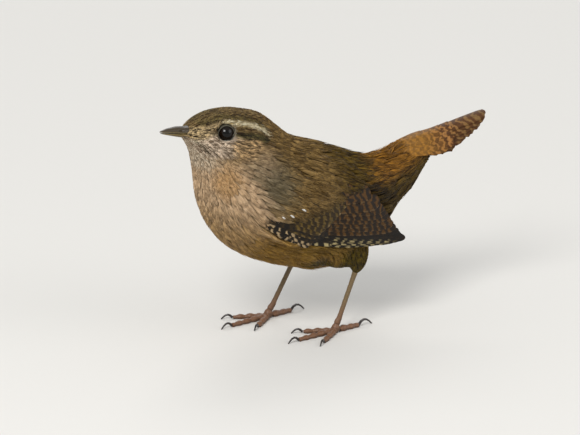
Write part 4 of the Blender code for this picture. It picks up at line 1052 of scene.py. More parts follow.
def lay_feathers(name, spines, normals, lengths, depths, dice, shade):
    """A piece of small closed feathers along spines of three places each."""
    count = len(spines)
    ahead = np.stack(
        (spines[:, 1] - spines[:, 0], spines[:, 2] - spines[:, 0], spines[:, 2] - spines[:, 1]),
        axis=1,
    )
    ahead = unit(ahead)
    sides = unit(np.cross(normals, ahead))
    widths = half_width(lengths)
    barb_width = bpy.context.scene.wren_coat.barb_width / MM * np.sqrt(lengths.mean() / 5.0)
    barbs = max(4, round(1.9 * widths.mean() / barb_width))
    maps = bake_places(spines[:, 0])
    own_tone = dice.random(count)

    reach = (np.arange(barbs) + 0.5) / barbs * 2.0 - 1.0
    clump = (np.arange(barbs) // 2 * 2 + 1.0) / barbs * 2.0 - 1.0
    reach = reach + dice.uniform(-0.10, 0.10, (count, barbs))
    sway = np.repeat(dice.uniform(-0.22, 0.22, (count, (barbs + 1) // 2)), 2, axis=1)[:, :barbs]
    gathered = mix(reach, clump, 0.45) + sway
    short = 0.98 - 0.22 * reach**2 + dice.uniform(-0.16, 0.10, (count, barbs))
    lift = dice.uniform(0.75, 1.10, (count, barbs))
    rings = []
    for k, across in enumerate((reach, reach, gathered)):
        off = across * FEATHER_FAN[k] * widths[:, None]
        height = FEATHER_LIFT[k] * depths[:, None] * (lift if k else 1.0)
        centre = spines[:, None, k] + sides[:, None, k] * off[..., None]
        centre = centre + normals[:, None, k] * height[..., None]
        if k == 2:
            break
        half = barb_width * (0.45, 0.55)[k]
        side, up = sides[:, None, k] * half, normals[:, None, k] * (2.0 * half * BARB_HEIGHT)
        rings.append(np.stack((centre - side, centre + side, centre + up), axis=2))
    middle = rings[1].mean(2)
    tips = middle + (centre - middle) * (2.0 * short - 1.0)[..., None]
    tips = clear_of_eyes(tips.reshape(-1, 3))
    points, faces = pointed_bars(np.stack(rings, axis=2).reshape(count * barbs, 2, 3, 3), tips)

    seen = mix(middle, tips.reshape(count, barbs, 3), 0.6)
    light, dark, bars = (part.reshape(count, barbs, -1) for part in shade(seen.reshape(-1, 3)))
    strands = strand_tone(seen, np.broadcast_to(ahead[:, None, 2], seen.shape))
    contrast = np.interp(lengths, (2.0, 5.0), (1.9, 1.2))[:, None]
    tone = 0.27 + contrast * (strands - 0.5) + 0.45 * own_tone[:, None]
    tone = tone + dice.normal(0.0, 0.14, (count, barbs))
    base = mix(dark, light, np.clip(tone, 0.0, 1.0)[..., None])
    # Each barb is painted 0.60 as bright at its root, as painted shade under the feathers that lie over
    # it, barred in its middle and a little lighter at its tip.
    painted_root_shade, at_tip = np.full_like(bars, 0.60), np.full_like(bars, 1.05)
    shades = np.concatenate((painted_root_shade, 1.0 - 0.50 * bars, at_tip), axis=2)
    tint = base[:, :, None] * shades[..., None]
    tint = tint[:, :, (0, 0, 0, 1, 1, 1, 2)].reshape(-1, 3)
    corner_u = np.array((-0.2, 0.2, 0.0, -0.2, 0.2, 0.0, 0.0)) * 0.4
    corner_v = np.array((0.0, 0.0, 0.12, 0.5, 0.5, 0.62, 1.0)) - 0.5
    local_u = reach[..., None] * 0.35 + corner_u
    local = np.stack((local_u, np.broadcast_to(corner_v, local_u.shape)), axis=-1)
    bake = (maps[:, None, None] + PATCH * local).reshape(-1, 2)

    blade_rings = []
    for share, wide in BLADE_RINGS:
        first = 0 if share < 0.5 else 1
        part = share * 2.0 - first
        up = unit(mix(normals[:, first], normals[:, first + 1], part))
        side = unit(mix(sides[:, first], sides[:, first + 1], part)) * (widths * wide)[:, None]
        height = depths * mix(FEATHER_LIFT[0], 0.62, smooth_step(0.0, 0.7, share))
        centre = mix(spines[:, first], spines[:, first + 1], part) + up * height[:, None]
        thick = up * 0.05
        about_spine = (centre - side, centre - thick, centre + side, centre + thick)
        blade_rings.append(np.stack(about_spine, axis=1))
    blade_tips = clear_of_eyes(spines[:, 2] + normals[:, 2] * (depths * 0.66)[:, None])
    more, more_faces = pointed_bars(np.stack(blade_rings, axis=1), blade_tips)
    light, dark, bars = shade(mix(spines[:, 1], spines[:, 2], 0.6))
    base = mix(dark, light, 0.15 + own_tone[:, None] * 0.45)
    # The blade is also painted 0.60 as bright at its root, as painted shade under the feathers above it.
    shades = np.stack(
        (np.full(count, 0.60), 0.90 - 0.4 * bars, np.full(count, 0.95), np.full(count, 1.0)), axis=1
    )
    corner_rings = (0,) * 4 + (1,) * 4 + (2,) * 4 + (3,)
    more_tint = (base[:, None] * shades[..., None])[:, corner_rings].reshape(-1, 3)
    edge = np.array((-0.5, 0.0, 0.5, 0.0) * 3 + (0.0,))
    rise = np.array((0.0, -0.05, 0.0, 0.05, 0.5, 0.45, 0.5, 0.55, 0.8, 0.75, 0.8, 0.85, 1.0)) - 0.5
    local = np.stack((edge, rise), axis=-1)
    more_bake = (maps[:, None] + PATCH * local[None]).reshape(-1, 2)

    return mesh_object(
        name,
        np.concatenate((points, more)),
        np.concatenate((faces, more_faces + len(points))),
        np.concatenate((tint, more_tint)),
        np.concatenate((bake, more_bake)),
    )


class Bed:
    """A smooth sheet over one packed wing: how far sideways it reaches at each (x, z)."""

    def __init__(self, name, side):
        self.side = side
        tree = tree_of(NODES[name].data)
        low, high = (np.array(corner) / MM - PLAN_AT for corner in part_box(name))
        margin = 6.0
        self.low = np.array((low[0] - margin, low[2] - margin))
        size = np.array((high[0] - low[0], high[2] - low[2])) + 2.0 * margin
        self.shape = tuple(np.ceil(size / BED_CELL).astype(int) + 1)
        reach = np.full(self.shape, np.nan)
        inward = Vector((0.0, -side, 0.0))
        for i in range(self.shape[0]):
            for k in range(self.shape[1]):
                x, z = self.low + BED_CELL * np.array((i, k))
                hit = tree.ray_cast(Vector((x, 40.0 * side, z)), inward, 80.0)[0]
                if hit:
                    reach[i, k] = abs(hit.y)
        self.solid = ~np.isnan(reach)
        self.depth = self.inset()
        self.reach = self.filled(reach)

    def inset(self):
        """Distance of each cell inside the wing's outline, in millimetres."""
        depth, left = np.zeros(self.shape), self.solid.copy()
        while left.any():
            depth[left] += BED_CELL
            inner = left.copy()
            inner[1:] &= left[:-1]
            inner[:-1] &= left[1:]
            inner[:, 1:] &= left[:, :-1]
            inner[:, :-1] &= left[:, 1:]
            left = inner
        return depth

    def filled(self, reach):
        """Carries the sheet on past the wing's outline and smooths it."""
        known = self.solid.astype(float)
        values = np.where(self.solid, reach, 0.0)
        while known.min() == 0.0:
            total, weight = self.spread(values * known), self.spread(known)
            fresh = (known == 0.0) & (weight > 0.0)
            values[fresh] = total[fresh] / weight[fresh]
            known[fresh] = 1.0
        for _ in range(BED_ROUNDS):
            values = self.spread(values) / self.spread(np.ones_like(values))
        return values

    @staticmethod
    def spread(values):
        """Each cell's sum with its eight neighbours."""
        padded = np.pad(values, 1)
        rows = padded[:-2] + padded[1:-1] + padded[2:]
        return rows[:, :-2] + rows[:, 1:-1] + rows[:, 2:]

    def read(self, grid, x, z):
        """A grid's value between its cells."""
        u = np.clip((x - self.low[0]) / BED_CELL, 0.0, self.shape[0] - 1.001)
        v = np.clip((z - self.low[1]) / BED_CELL, 0.0, self.shape[1] - 1.001)
        i, k = u.astype(int), v.astype(int)
        u, v = u - i, v - k
        low = mix(grid[i, k], grid[i + 1, k], u)
        high = mix(grid[i, k + 1], grid[i + 1, k + 1], u)
        return mix(low, high, v)

    def place(self, x, z, height):
        reach = self.read(self.reach, x, z) + height
        return np.stack((x, self.side * reach, z), axis=-1)

    def normal(self, x, z):
        step = BED_CELL
        ahead, behind = self.read(self.reach, x + step, z), self.read(self.reach, x - step, z)
        above, below = self.read(self.reach, x, z + step), self.read(self.reach, x, z - step)
        slope_x, slope_z = (ahead - behind) / (2.0 * step), (above - below) / (2.0 * step)
        return unit(np.stack((-slope_x, np.full(x.shape, self.side), -slope_z), axis=-1))


def vane_outline(share, point):
    """Half width of a vane along its length: a bare root, a full blade and a rounded tip."""
    blade = 0.30 + 0.70 * smooth_step(0.0, 0.22, share)
    past_point = np.clip((share - point) / (1.0 - point), 0.0, 1.0)
    rounding = np.sqrt(np.clip(1.0 - past_point**2, 0.0, 1.0))
    return blade * np.maximum(rounding, 0.04)


class Vanes:
    """Collects closed vanes and makes them one piece."""

    def __init__(self, thickness, dice):
        self.thickness = thickness
        self.dice = dice
        self.points, self.faces, self.maps = [], [], []
        self.pale, self.dark, self.phase, self.period = [], [], [], []
        self.total = 0

    @staticmethod
    def grid_faces():
        """Triangles of a closed slab: a grid above, its like below, and the edges between."""
        rows, columns = VANE_STEPS + 1, VANE_COLUMNS + 1
        index = np.arange(rows * columns).reshape(rows, columns)
        a, b, c, d = index[:-1, :-1], index[1:, :-1], index[1:, 1:], index[:-1, 1:]
        halves = (np.stack((a, b, c), -1).reshape(-1, 3), np.stack((a, c, d), -1).reshape(-1, 3))
        top = np.concatenate(halves)
        under = top[:, ::-1] + rows * columns
        rim = np.concatenate((index[:, 0], index[-1, 1:], index[-2::-1, -1], index[0, -2:0:-1]))
        after = np.roll(rim, -1)
        below = rows * columns
        edge = np.concatenate(
            (
                np.stack((rim, rim + below, after), -1),
                np.stack((after, rim + below, after + below), -1),
            )
        )
        return np.concatenate((top, under, edge))

    def add(self, root, tip, webs, place, look, lift, bend=0.0, point=0.82, stretch=1.0):
        """One vane between two flat places, laid by place(a, b, height)."""
        root, tip = np.array(root, float), np.array(tip, float)
        length = np.linalg.norm(tip - root)
        ahead = (tip - root) / length
        across = np.array((-ahead[1], ahead[0]))
        share = np.sin(np.linspace(0.0, 0.5, VANE_STEPS + 1) * math.pi) ** 1.2
        reach = np.linspace(-1.0, 1.0, VANE_COLUMNS + 1)
        t, r = np.meshgrid(share, reach, indexing="ij")
        frayed = 0.05 * self.dice.normal(0.0, 1.0, t.shape) * (np.abs(r) > 0.9)
        outline = vane_outline(t, point) * (1.0 + frayed)
        wide = np.where(r > 0.0, webs[0], webs[1]) * outline * r
        middle = bend * np.sin(math.pi * t)
        a = root[0] + ahead[0] * length * t + across[0] * (wide + middle)
        b = root[1] + ahead[1] * length * t + across[1] * (wide + middle)
        shaft = np.exp(-((wide / RACHIS_WIDTH) ** 2)) * RACHIS_HEIGHT * (1.0 - t)
        height = lift(t, wide) + shaft
        top = place(a, b, height).reshape(-1, 3)
        under = place(a, b, height - shaft - self.thickness * (1.0 - 0.5 * t)).reshape(-1, 3)
        self.points += [top, under]
        self.faces.append(self.grid_faces() + self.total)
        self.total += 2 * len(top)
        along = length * t
        vane_map = np.stack((0.5 + wide / VANE_MAP_ACROSS, along / VANE_MAP_ALONG), axis=-1).reshape(-1, 2)
        self.maps += [vane_map, vane_map]
        pale, dark = look(t, r)
        self.pale += [pale.reshape(-1, 3)] * 2
        self.dark += [dark.reshape(-1, 3)] * 2
        period = self.dice.uniform(0.92, 1.08) * stretch
        phase = self.dice.uniform(0.0, 1.0)
        self.phase += [np.full(len(top), phase)] * 2
        self.period += [np.full(len(top), period)] * 2

    def build(self, name, spacing, phase_spread):
        faces = np.concatenate(self.faces)
        obj = mesh_object(
            name,
            np.concatenate(self.points),
            faces,
            maps={"Vane": np.concatenate(self.maps), "OFBake": self.atlas()},
            extra={
                "Pale": np.concatenate(self.pale),
                "Dark": np.concatenate(self.dark),
                "Phase": np.concatenate(self.phase) * phase_spread,
                "Period": np.concatenate(self.period) * spacing,
            },
        )
        obj.data.uv_layers["Vane"].active_render = True
        return obj

    def atlas(self):
        """A patch of the baking map for each vane, its upper and lower face side by side."""
        vanes = len(self.faces)
        cells = math.ceil(math.sqrt(vanes))
        rows, columns = VANE_STEPS + 1, VANE_COLUMNS + 1
        row_places, column_places = np.linspace(0.04, 0.96, rows), np.linspace(0.04, 0.46, columns)
        v, u = np.meshgrid(row_places, column_places, indexing="ij")
        face = np.stack((u, v), axis=-1).reshape(-1, 2)
        both = np.concatenate((face, face + (0.5, 0.0)))
        corners = np.array([(i % cells, i // cells) for i in range(vanes)])
        return ((corners[:, None] + both[None]) / cells).reshape(-1, 2)


def between(ends, count):
    """Evenly spaced places from the first end to the last."""
    shares = np.linspace(0.0, 1.0, count)[:, None]
    return mix(np.array(ends[0])[None], np.array(ends[1])[None], shares)


def primary_tips(count):
    share = np.linspace(0.0, 1.0, count)
    outer, inner = np.maximum(1.0 - 2.0 * share, 0.0), np.maximum(2.0 * share - 1.0, 0.0)
    x = PRIMARY_TIP[0] - OUTER_SHORTENING * outer**1.5 - INNER_SHORTENING * inner
    return np.stack((x, PRIMARY_TIP[1] + 7.5 * (share - 0.4) ** 2), axis=1)


def shade_pair(pale, dark, shape):
    """Two colours spread over a vane's grid."""
    ones = np.ones((*shape, 1))
    return ones * np.array(pale), ones * np.array(dark)


def wing_look(finish, tone, index):
    """Returns a function that colours a wing feather by place along and across it."""

    def primary(t, r):
        pale, dark = shade_pair(tone.web_dark, tone.wing_dark, t.shape)
        if index < len(PALE_PRIMARIES):
            outer = smooth_step(-0.1, -0.3, r) * smooth_step(0.95, 0.82, t)
            outer = (outer * PALE_PRIMARIES[index])[..., None]
            pale = mix(pale, np.array(tone.wing_pale), outer)
        return pale, dark

    def secondary(t, r):
        pale, dark = shade_pair(tone.web_pale, tone.web_dark, t.shape)
        rim = smooth_step(-0.75, -1.0, r)[..., None] * 0.30
        return mix(pale, np.array(tone.edge_pale), rim), mix(dark, np.array(tone.web_pale), rim)

    def edge(t, r):
        pale, dark = shade_pair(tone.covert_dark, tone.wing_dark, t.shape)
        if index < 2:
            outer = smooth_step(0.3, -0.1, r)[..., None]
            pale = mix(pale, np.array(tone.edge_pale), outer)
        return pale, dark

    def covert(t, r):
        pale, dark = shade_pair(tone.covert_pale, tone.covert_dark, t.shape)
        rim = (smooth_step(0.92, 0.98, t) * 0.5 + smooth_step(0.7, 1.0, -r) * 0.3)[..., None]
        rim = np.clip(rim, 0.0, 0.6)
        return mix(pale, np.array(tone.edge_pale), rim), mix(dark, np.array(tone.covert_pale), rim)

    return {"primary": primary, "secondary": secondary, "edge": edge, "covert": covert}[finish]


def lay_wing(name, side, bed, dice):
    """Every vane of one folded wing."""
    tone = bpy.context.scene.wren_plumage
    vanes = Vanes(bpy.context.scene.wren_coat.vane_thickness / MM, dice)
    for tier in WING_TIERS.values():
        roots = between(tier.roots, tier.count)
        tips = between(tier.tips, tier.count) if tier.tips else primary_tips(tier.count)
        for i, (root, tip) in enumerate(zip(roots, tips)):

            def lift(t, wide, tier=tier):
                sunk = -tier.sunk * (1.0 - smooth_step(0.0, 0.5, t))
                return sunk - tier.tilt * wide - 0.05

            look = wing_look(tier.finish, tone, i)
            stretch = PRIMARY_STRETCH if tier.finish == "primary" else 1.0
            vanes.add(root, tip, tier.widths, bed.place, look, lift, tier.bend, stretch=stretch)
    return vanes.build(name, 2.3, 2.3)


def tail_place(along, across, height):
    """A place on the folded tail's roof, from distances behind its root and off its ridge."""
    gathered = across * mix(0.5, 1.0, smooth_step(0.0, 0.55, along / TAIL_LENGTH))
    slope = np.minimum(np.abs(gathered) / ROOF_RADIUS, ROOF_SLOPE)
    rest = np.maximum(np.abs(gathered) - ROOF_RADIUS * slope, 0.0)
    reach = ROOF_RADIUS * np.sin(slope) + rest * np.cos(slope) + height * np.sin(slope)
    drop = ROOF_RADIUS * (1.0 - np.cos(slope)) + rest * np.sin(slope) - height * np.cos(slope)
    x = TAIL_ROOT[0] + along * math.cos(TAIL_RISE) + drop * math.sin(TAIL_RISE)
    z = TAIL_ROOT[2] + along * math.sin(TAIL_RISE) - drop * math.cos(TAIL_RISE)
    z = z - TAIL_DROOP * (along / TAIL_LENGTH) ** 2
    return np.stack((x, TAIL_ROOT[1] + np.sign(gathered) * reach, z), axis=-1)


def lay_tail(dice):
    """The twelve tail feathers, with four rows of upper tail coverts over their roots."""
    tone = bpy.context.scene.wren_plumage
    vanes = Vanes(bpy.context.scene.wren_coat.vane_thickness / MM, dice)

    def look(t, r):
        pale, dark = shade_pair(tone.tail_pale, tone.tail_dark, t.shape)
        grey = smooth_step(0.45, 1.0, t)[..., None]
        rim = smooth_step(0.75, 1.0, np.abs(r))[..., None] * 0.10
        pale = mix(mix(pale, np.array(tone.tail_tip), grey), np.array(tone.edge_pale), rim)
        return pale, dark

    for i in range(TAIL_PAIRS):
        share_out = i / (TAIL_PAIRS - 1)
        length = TAIL_LENGTH - TAIL_SHORTENING * share_out**1.7
        for side in SIDES.values():
            offset = side * (TAIL_FIRST_OFFSET + TAIL_OFFSET_STEP * i)
            layer = TAIL_LAYER * (2 * i + (0.5 + 0.5 * side))

            def lift(t, wide, layer=layer):
                return -layer - 0.02 * np.abs(wide)

            webs = TAIL_WEBS if side > 0.0 else TAIL_WEBS[::-1]
            vanes.add((0.0, offset), (length, offset), webs, tail_place, look, lift, 0.0, 0.88)

    for row, end in enumerate(TAIL_COVERT_ENDS):
        share = row / (len(TAIL_COVERT_ENDS) - 1)
        plain_rump = np.array(tone.rump_light)
        # The rump's colour at 0.52 and 0.34 of its brightness is painted shade, as dark as the rump's
        # layered tufts look from their own shadows and painted root shade.
        pale = mix(plain_rump * 0.52, np.array(tone.tail_pale), share)
        deep = mix(plain_rump * 0.34, np.array(tone.tail_dark), share)

        def covert_look(t, r, pale=pale, deep=deep):
            return shade_pair(pale, deep, t.shape)

        for j in range(-TAIL_COVERT_SIDE, TAIL_COVERT_SIDE + 1):
            across = TAIL_COVERT_STEP * (j + 0.5 * (row % 2))
            tip = end + dice.normal(0.0, 0.5) - 0.25 * abs(j)
            start = tip - TAIL_COVERT_LENGTH

            def cover(t, wide, row=row, start=start):
                away = start + TAIL_COVERT_LENGTH * t
                row_lift = 0.07 * (len(TAIL_COVERT_ENDS) - row)
                height = mix(0.8, 0.10, smooth_step(9.0, 17.0, away)) + row_lift
                return height - 0.6 * (1.0 - smooth_step(0.0, 0.4, t)) - 0.05 * np.abs(wide)

            webs = (1.2, 1.2)
            vanes.add(
                (start, across), (tip, across), webs, tail_place, covert_look, cover, 0.0, 0.6, 0.85
            )
    return vanes.build("tail_feathers", 2.5, 2.4)


def build_skin(look):
    """One smooth skin through the flesh nodes and the tail's stump, sunk by the coat's depth."""

    def trim(bm):
        for middle, size in FILLINGS:
            place = Matrix.Translation((Vector(middle) + Vector(PLAN_AT)) * MM)
            size = Matrix.Diagonal((*(part * MM for part in size), 1.0))
            bmesh.ops.create_uvsphere(
                bm, u_segments=24, v_segments=16, radius=1.0, matrix=place @ size
            )
        stump = bmesh.new()
        stump.from_mesh(NODES["tail"].data)
        bmesh.ops.remove_doubles(stump, verts=stump.verts, dist=0.001 * MM)
        cut = bmesh.ops.bisect_plane(
            stump,
            geom=stump.verts[:] + stump.edges[:] + stump.faces[:],
            plane_co=((TAIL_STUMP_X + PLAN_AT[0]) * MM, 0.0, 0.0),
            plane_no=(1.0, 0.0, 0.0),
            clear_outer=True,
        )
        edges = [item for item in cut["geom_cut"] if isinstance(item, bmesh.types.BMEdge)]
        bmesh.ops.holes_fill(stump, edges=edges)
        bmesh.ops.triangulate(stump, faces=stump.faces)
        spare = bpy.data.meshes.new("stump")
        stump.to_mesh(spare)
        stump.free()
        bm.from_mesh(spare)
        bpy.data.meshes.remove(spare)

    flesh = ("torso", "neck", "head", "thigh_left", "thigh_right")
    skin = remeshed_copy("skin", flesh, SKIN_VOXEL, SEAM_CLOSING, SKIN_ROUNDS, trim)
    points, normals = plan_points(skin.data), vertex_normals(skin.data)
    depths = lie_field(points)[1][:, 1]
    move_vertices(skin.data, points - normals * depths[:, None])
    bm = bmesh.new()
    bm.from_mesh(skin.data)
    smoothed(bm, 2)
    bm.to_mesh(skin.data)
    bm.free()
    light, dark, _ = markings(plan_points(skin.data))
    paint(skin.data, "Tint", mix(dark, light, 0.35))
    skin.data.shade_smooth()
    return finish_piece(skin, look, flesh)


def soft_edge(x):
    """Height on the wing above which soft feathers lie over its vanes."""
    return np.interp(x, SOFT_EDGE_X, SOFT_EDGE_Z)


def over_wing(points, beds):
    """Which places lie on the part of a wing that shows its vanes."""
    hidden = np.zeros(len(points), bool)
    for bed in beds.values():
        here = points[:, 1] * bed.side > 0.0
        x, z = points[:, 0], points[:, 2]
        near = np.abs(points[:, 1]) > bed.read(bed.reach, x, z) - WING_SHEET_DEPTH
        deep = bed.read(bed.depth, x, z) > WING_MARGIN
        hidden |= here & near & deep & (z < soft_edge(x))
    return hidden


def lifted_over_wings(points, normals, depths, beds):
    """Raises places that lie over a wing to the wing's own surface."""
    for bed in beds.values():
        here = points[:, 1] * bed.side > 0.0
        x, z = points[:, 0], points[:, 2]
        reach = bed.read(bed.reach, x, z)
        inside = here & (bed.read(bed.depth, x, z) > 0.0)
        low = inside & (np.abs(points[:, 1]) < reach) & (np.abs(points[:, 1]) > reach - WING_SHEET_DEPTH)
        points[low, 1] = bed.side * (reach[low] - 0.5 * depths[low])
        normals[low] = bed.normal(x[low], z[low])
    return points, normals


def evenly_bent(roots, middles, tips, lengths):
    """Which feathers keep their length and aren't folded over an edge."""
    first, second = middles - roots, tips - middles
    straight = dot(unit(first), unit(second))[:, 0] > 0.75
    longest = np.maximum(np.linalg.norm(first, axis=1), np.linalg.norm(second, axis=1))
    return straight & (longest < 0.72 * lengths)


def build_coat(skin, beds, look):
    """Small feathers over the whole skin, in one piece for each area."""
    settings = bpy.context.scene.wren_coat
    dice = np.random.default_rng(settings.seed)
    roots, normals = scatter(skin.data, dice, settings.density)
    keep = ~near_eye(roots, EYE_CLEAR - 0.1)
    for bed in beds.values():
        here = roots[:, 1] * bed.side > 0.0
        keep &= ~(here & (bed.read(bed.depth, roots[:, 0], roots[:, 2]) > 3.0))
    roots, normals = roots[keep], normals[keep]
    flow, sizes, nearest_lie = lie_field(roots)
    lengths = sizes[:, 0] * dice.uniform(0.82, 1.15, len(roots))
    depths = sizes[:, 1]
    swing = dice.normal(0.0, 0.12, (len(roots), 1)) * np.cross(normals, flow)
    flow = unit(flow - normals * dot(flow, normals) + swing)
    tree = tree_of(skin.data)

    def spine(length):
        middles, middle_normals = nearest(tree, roots + flow * (length * 0.5)[:, None])
        ahead = unit(middles - roots)
        tips, tip_normals = nearest(tree, middles + ahead * (length * 0.5)[:, None])
        return middles, middle_normals, tips, tip_normals

    middles, middle_normals, tips, tip_normals = spine(lengths)
    too_long = over_wing(tips, beds) | over_wing(middles, beds)
    lengths = np.where(too_long, lengths * 0.5, lengths)
    middles, middle_normals, tips, tip_normals = spine(lengths)
    shown = ~(over_wing(tips, beds) | over_wing(middles, beds))
    on_skin = (middles.copy(), middle_normals.copy(), tips.copy(), tip_normals.copy())
    middles, middle_normals = lifted_over_wings(middles, middle_normals, depths, beds)
    tips, tip_normals = lifted_over_wings(tips, tip_normals, depths, beds)
    bent = ~evenly_bent(roots, middles, tips, lengths)
    for lifted, flat in zip((middles, middle_normals, tips, tip_normals), on_skin):
        lifted[bent] = flat[bent]
    middles, tips = clear_of_eyes(middles), clear_of_eyes(tips)
    shown &= evenly_bent(roots, middles, tips, lengths)
    spines = np.stack((roots, middles, tips), axis=1)
    spine_normals = np.stack((normals, middle_normals, tip_normals), axis=1)
    names = np.array(LIE_PIECES)[nearest_lie]
    for piece in sorted(set(LIE_PIECES)):
        own = (names == piece) & shown
        obj = lay_feathers(
            "coat_" + piece, spines[own], spine_normals[own], lengths[own], depths[own],
            dice, markings,
        )
        finish_piece(obj, look)


def build_scapulars(name, bed, look):
    """Soft scapulars and lesser coverts over the front and top of a folded wing."""
    settings = bpy.context.scene.wren_coat
    tone = bpy.context.scene.wren_plumage
    own_seed = SEED_STEPS["left_scapulars" if bed.side < 0.0 else "right_scapulars"]
    dice = np.random.default_rng(settings.seed + own_seed)
    count = int(1900 * settings.density)
    x, z = dice.uniform(-21.0, 17.0, count), dice.uniform(33.0, 51.0, count)
    length = dice.uniform(4.6, 6.2, count)
    turn = np.interp(z, (34.0, 42.0, 50.0), (-0.45, -0.40, -0.30)) + dice.normal(0.0, 0.10, count)
    tip_x, tip_z = x + length * np.cos(turn), z + length * np.sin(turn)
    inside = (bed.read(bed.depth, x, z) > 0.0) & (bed.read(bed.depth, tip_x, tip_z) > 0.6)
    wanted = inside & (tip_z > soft_edge(tip_x) - 0.5)
    x, z, length, turn = x[wanted], z[wanted], length[wanted], turn[wanted]
    keep = spaced(np.stack((x, 0.0 * x, z), axis=1), np.full(len(x), 0.85))
    x, z, length, turn = x[keep], z[keep], length[keep], turn[keep]
    spines, normals = [], []
    for share in (0.0, 0.5, 1.0):
        ax, az = x + length * share * np.cos(turn), z + length * share * np.sin(turn)
        spines.append(bed.place(ax, az, -0.35 + 0.1 * share))
        normals.append(bed.normal(ax, az))

    def shade(points):
        light, dark, bars = markings(points)
        wing = (smooth_step(2.5, 0.0, points[:, 2] - soft_edge(points[:, 0])) * 0.8)[:, None]
        light = mix(light, np.array(tone.covert_pale), wing)
        return light, mix(dark, np.array(tone.covert_dark), wing), np.maximum(bars, 0.4)

    sound = evenly_bent(*spines, length)
    spines, normals = np.stack(spines, axis=1)[sound], np.stack(normals, axis=1)[sound]
    depths = np.full(len(spines), 0.55)
    obj = lay_feathers(name, spines, normals, length[sound], depths, dice, shade)
    return finish_piece(obj, look)


def build_dots(name, bed, look):
    """Three white-tipped median coverts."""
    dice = np.random.default_rng(bpy.context.scene.wren_coat.seed)
    white = np.array(bpy.context.scene.wren_plumage.dot)
    ahead = np.array((math.cos(-0.6), math.sin(-0.6)))
    spines, normals = [], []
    for share in (-0.9, -0.25, 0.45):
        x, z = (np.array(DOT_PLACES) + share * ahead).T
        spines.append(bed.place(x, z, 0.15))
        normals.append(bed.normal(x, z))

    def shade(points):
        tint = np.tile(white, (len(points), 1))
        return tint, tint * 0.8, np.zeros(len(points))

    spines, normals = np.stack(spines, axis=1), np.stack(normals, axis=1)
    count = len(DOT_PLACES)
    obj = lay_feathers(
        name, spines, normals, np.full(count, 1.4), np.full(count, 0.45), dice, shade
    )
    return finish_piece(obj, look)


def set_in_head(bm, centre, direction):
    """Turns a round shape to face out at an eye, and gives its points and triangles."""
    facing = direction.to_track_quat("Z", "Y").to_matrix().to_4x4()
    bmesh.ops.transform(bm, matrix=Matrix.Translation(centre) @ facing, verts=bm.verts)
    bmesh.ops.triangulate(bm, faces=bm.faces)
    points = np.array([vert.co for vert in bm.verts])
    faces = np.array([[vert.index for vert in face.verts] for face in bm.faces])
    bm.free()
    return points, faces


def build_eyes(look):
    """Eyeballs with a bulging cornea, a near-black iris and a black pupil."""
    iris = np.array(bpy.context.scene.wren_bare.iris)
    for name, side in SIDES.items():
        centre, direction = eye_place(side)
        bm = bmesh.new()
        bmesh.ops.create_uvsphere(bm, u_segments=48, v_segments=32, radius=EYE_RADIUS)
        for vert in bm.verts:
            angle = math.acos(max(-1.0, min(1.0, vert.co.z / EYE_RADIUS)))
            vert.co *= 1.0 + 0.045 * math.exp(-((angle / 0.55) ** 2))
        points, faces = set_in_head(bm, centre, direction)
        facing = unit(points - np.array(centre)) @ np.array(direction)
        angle = np.arccos(np.clip(facing, -1.0, 1.0))
        ring = smooth_step(0.42, 0.50, angle) * (1.0 - smooth_step(0.85, 0.95, angle))
        obj = mesh_object("eyeball_" + name, points, faces, iris[None] * (0.15 + ring[:, None]))
        finish_piece(obj, look, ("eye_" + name,))


def build_lids(look):
    """A low roll of skin round each eye, with a skirt under the feathers."""
    tone = bpy.context.scene.wren_bare
    profile = (
        (2.02, 1.49), (2.08, 1.60), (2.18, 1.66), (2.30, 1.60), (2.40, 1.40),
        (2.62, 0.95), (2.66, 0.55), (2.40, 0.50), (2.30, 0.90), (2.12, 1.34),
    )
    for name, side in SIDES.items():
        centre, direction = eye_place(side)
        bm = bmesh.new()
        ring = [bm.verts.new((radius, 0.0, height)) for radius, height in profile]
        edges = [bm.edges.new((a, b)) for a, b in zip(ring, ring[1:] + ring[:1])]
        bmesh.ops.spin(
            bm,
            geom=ring + edges,
            cent=(0.0, 0.0, 0.0),
            axis=(0.0, 0.0, 1.0),
            angle=2.0 * math.pi,
            steps=56,
            use_merge=True,
        )
        bmesh.ops.remove_doubles(bm, verts=bm.verts, dist=0.001)
        for vert in bm.verts:
            turn = math.atan2(vert.co.y, vert.co.x)
            corner = abs(math.cos(turn)) ** 6
            vert.co.x *= 1.0 + 0.05 * corner
            vert.co.z += 0.05 * math.sin(9.0 * turn) * (vert.co.xy.length > 2.3)
        bmesh.ops.recalc_face_normals(bm, faces=bm.faces)
        points, faces = set_in_head(bm, centre, direction)
        radius = off_axis(points, centre, direction)[2]
        inner = smooth_step(2.12, 2.04, radius)[:, None]
        tint = mix(np.array(tone.lid), np.array(tone.iris) * 1.5, inner)
        finish_piece(mesh_object("lids_" + name, points, faces, tint), look)


